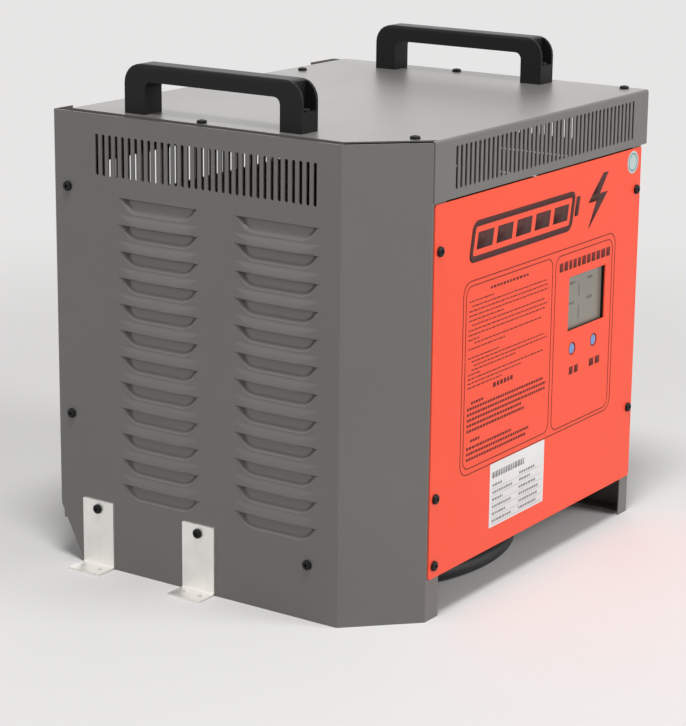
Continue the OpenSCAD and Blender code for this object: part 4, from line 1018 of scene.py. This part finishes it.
class CHARGER_OT_display(bpy.types.Operator):
    """Finish the display and buttons, make the display's marks and the painted shade round the
    holes
    """

    bl_idname = "charger.display"
    bl_label = "Display and buttons"

    def execute(self, context):
        size, tone = context.scene.charger_sizes, context.scene.charger_colours
        finish_nodes(display_polarizer("display_face", tone.lcd), "lcd_glass")
        finish_nodes(glossy_button("blue_button", tone.button), "left_button", "right_button")
        resting = printed_ink("resting_segments", tinted(tone.lcd, 0.84), 0.3)
        marks = Shape().patches(on_panel(self.segments(), size.ink_t, GLASS_LOW.y))
        marks.build("display_segments", resting, "lcd", size.ink_t)
        # Dark rings round the button holes: painted shade, standing in for the shaded walls of the
        # holes.
        edge = printed_ink("cut_edge", tinted(tone.ink, 0.6))
        self.rims(size).build("button_hole_shade_rings", edge, "orange_panel", size.ink_t)
        return {"FINISHED"}

    def rims(self, size):
        """Flat dark ring round each button, from the edge of its hole outwards: painted shade of
        the hole's wall.
        """
        circle = unit_circle()
        shape = Shape()
        for button in ("left_button", "right_button"):
            low, high = (np.array([corner.x, corner.z]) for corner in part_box(button))
            hole = (high[0] - low[0]) / 2 - size.flange_w
            ring = np.stack([hole * circle, (hole + size.shade_ring_w) * circle]) + (low + high) / 2
            shape.grid(on_panel(ring, size.ink_t), wrap_columns=True)
        return shape

    def segments(self):
        """Two rows of labels in two columns, and a slim upright figure of two bars beside each left
        label."""
        low, high = (np.array([corner.x, corner.z]) for corner in (GLASS_LOW, GLASS_HIGH))
        labels = np.array([[u, v] for u in LABEL_COLUMNS for v in LABEL_ROWS])
        bars = np.array([[BAR_COLUMN, v + step] for v in BAR_ROWS for step in BAR_STEPS])
        corner = low + (high - low) * np.vstack([labels, bars])
        extent = MM * np.repeat([LABEL_SIZE, BAR_SIZE], [len(labels), len(bars)], axis=0)
        return boxes(corner, corner + extent)


# Stage: the camera stands where the photographer stood

EYE_AZIMUTH, EYE_HEIGHT, EYE_ROLL = -56.352, 13.902, 0.772
EYE_DISTANCE = 2.710
AIM = Vector((WALL_X + 0.300, PANEL_FACE + 0.226, 0.260))
FOCAL_PX, CENTRE_PX = 2300.0, (373.4, 315.8)
IMAGE_PX, SENSOR_MM = (686, 726), 36.0
FLOOR_HALF = 12.0

# Lamps: name, place, the point that it looks at, diameter and power
LAMPS = (
    ("front_light", (0.9, -3.2, 1.9), (0.05, -0.1, 0.3), 1.8, 64.0),
    ("top_light", (-0.95, -0.55, 3.2), (-0.1, 0.0, 0.3), 0.9, 72.0),
    ("back_light", (2.7, 1.9, 1.7), (0.0, 0.0, 0.5), 2.3, 13.0),
    ("side_light", (-2.7, 1.55, 1.15), (-0.25, 0.0, 0.3), 1.2, 7.0),
)


class CHARGER_OT_stage(bpy.types.Operator):
    """Make the floor, the lights, the world and the camera"""

    bl_idname = "charger.stage"
    bl_label = "Stage"

    def execute(self, context):
        scene = context.scene
        scene.view_settings.view_transform = "Standard"
        self.floor(scene)
        self.world(scene)
        for lamp in LAMPS:
            self.lamp(scene, *lamp)
        self.camera(scene)
        return {"FINISHED"}

    def floor(self, scene):
        """One large square at height 0."""
        mesh = bpy.data.meshes.new("floor")
        side = np.array([-FLOOR_HALF, FLOOR_HALF])
        spots = np.stack(np.meshgrid(side, side, indexing="ij"), axis=-1)
        points = np.concatenate([spots, np.zeros((2, 2, 1))], axis=-1).reshape(-1, 3)
        mesh.from_pydata(points.tolist(), [], [[0, 2, 3, 1]])
        mesh.materials.append(pale_floor("pale_paper", scene.charger_colours.floor))
        floor = bpy.data.objects.new("floor", mesh)
        scene.collection.objects.link(floor)

    def world(self, scene):
        """Even light all round, brighter where the background itself is seen."""
        world = bpy.data.worlds.new("studio")
        scene.world = world
        g = Graph(world)
        level = AMBIENT + g.background_rays() * (BACKDROP - AMBIENT)
        sockets = {"Color": (*BACKDROP_TINT, 1.0), "Strength": level}
        g.close(g.node("ShaderNodeBackground", None, sockets), "ShaderNodeOutputWorld")

    def lamp(self, scene, name, place, aim, size, power):
        """Round area lamp, turned to its aim."""
        light = bpy.data.lights.new(name, "AREA")
        light.shape = "DISK"
        light.size = size
        light.energy = power
        lamp = bpy.data.objects.new(name, light)
        lamp.location = place
        sight = Vector(aim) - Vector(place)
        lamp.rotation_euler = sight.to_track_quat("-Z", "Y").to_euler()
        scene.collection.objects.link(lamp)

    def camera(self, scene):
        """Camera at the fitted angles and distance, shifted to the photograph's frame."""
        azimuth, height, roll = map(math.radians, (EYE_AZIMUTH, EYE_HEIGHT, EYE_ROLL))
        back = Vector((
            math.sin(azimuth) * math.cos(height),
            -math.cos(azimuth) * math.cos(height),
            math.sin(height),
        ))
        level = Vector((0.0, 0.0, 1.0)).cross(back).normalized()
        rise = back.cross(level)
        right = math.cos(roll) * level + math.sin(roll) * rise
        up = math.cos(roll) * rise - math.sin(roll) * level
        eye = bpy.data.cameras.new("photo_view")
        eye.sensor_width = SENSOR_MM
        long_side = max(IMAGE_PX)
        eye.lens = FOCAL_PX * eye.sensor_width / long_side
        eye.shift_x = (IMAGE_PX[0] / 2 - CENTRE_PX[0]) / long_side
        eye.shift_y = (CENTRE_PX[1] - IMAGE_PX[1] / 2) / long_side
        camera = bpy.data.objects.new("photo_view", eye)
        turned = Matrix((right, up, back)).transposed().to_4x4()
        camera.matrix_world = Matrix.Translation(AIM + back * EYE_DISTANCE) @ turned
        scene.collection.objects.link(camera)
        scene.camera = camera


OPERATORS = (
    CHARGER_OT_sheets,
    CHARGER_OT_louvers,
    CHARGER_OT_fittings,
    CHARGER_OT_power_parts,
    CHARGER_OT_charging_cable,
    CHARGER_OT_panel_print,
    CHARGER_OT_plates,
    CHARGER_OT_display,
    CHARGER_OT_stage,
)


class CHARGER_PT_looks(bpy.types.Panel):
    """Lists the operators and the values that they read"""

    bl_idname = "CHARGER_PT_looks"
    bl_label = "Battery charger"
    bl_space_type = "VIEW_3D"
    bl_region_type = "UI"
    bl_category = "Charger"

    def draw(self, context):
        for group in (context.scene.charger_sizes, context.scene.charger_colours):
            for name in group.bl_rna.properties.keys():
                if name not in {"rna_type", "name"}:
                    self.layout.prop(group, name)
        for operator in OPERATORS:
            self.layout.operator(operator.bl_idname)


CLASSES = (ChargerSizes, ChargerColours, *OPERATORS, CHARGER_PT_looks)


def register():
    """Registers the classes and puts the sizes and colours on the scene."""
    for kind in CLASSES:
        bpy.utils.register_class(kind)
    bpy.types.Scene.charger_sizes = PointerProperty(type=ChargerSizes)
    bpy.types.Scene.charger_colours = PointerProperty(type=ChargerColours)


def unregister():
    """Takes back what register did."""
    del bpy.types.Scene.charger_colours
    del bpy.types.Scene.charger_sizes
    for kind in reversed(CLASSES):
        bpy.utils.unregister_class(kind)


def main():
    """Builds the looks."""
    register()
    for operator in OPERATORS:
        family, name = operator.bl_idname.split(".")
        getattr(getattr(bpy.ops, family), name)()


if __name__ == "__main__":
    main()
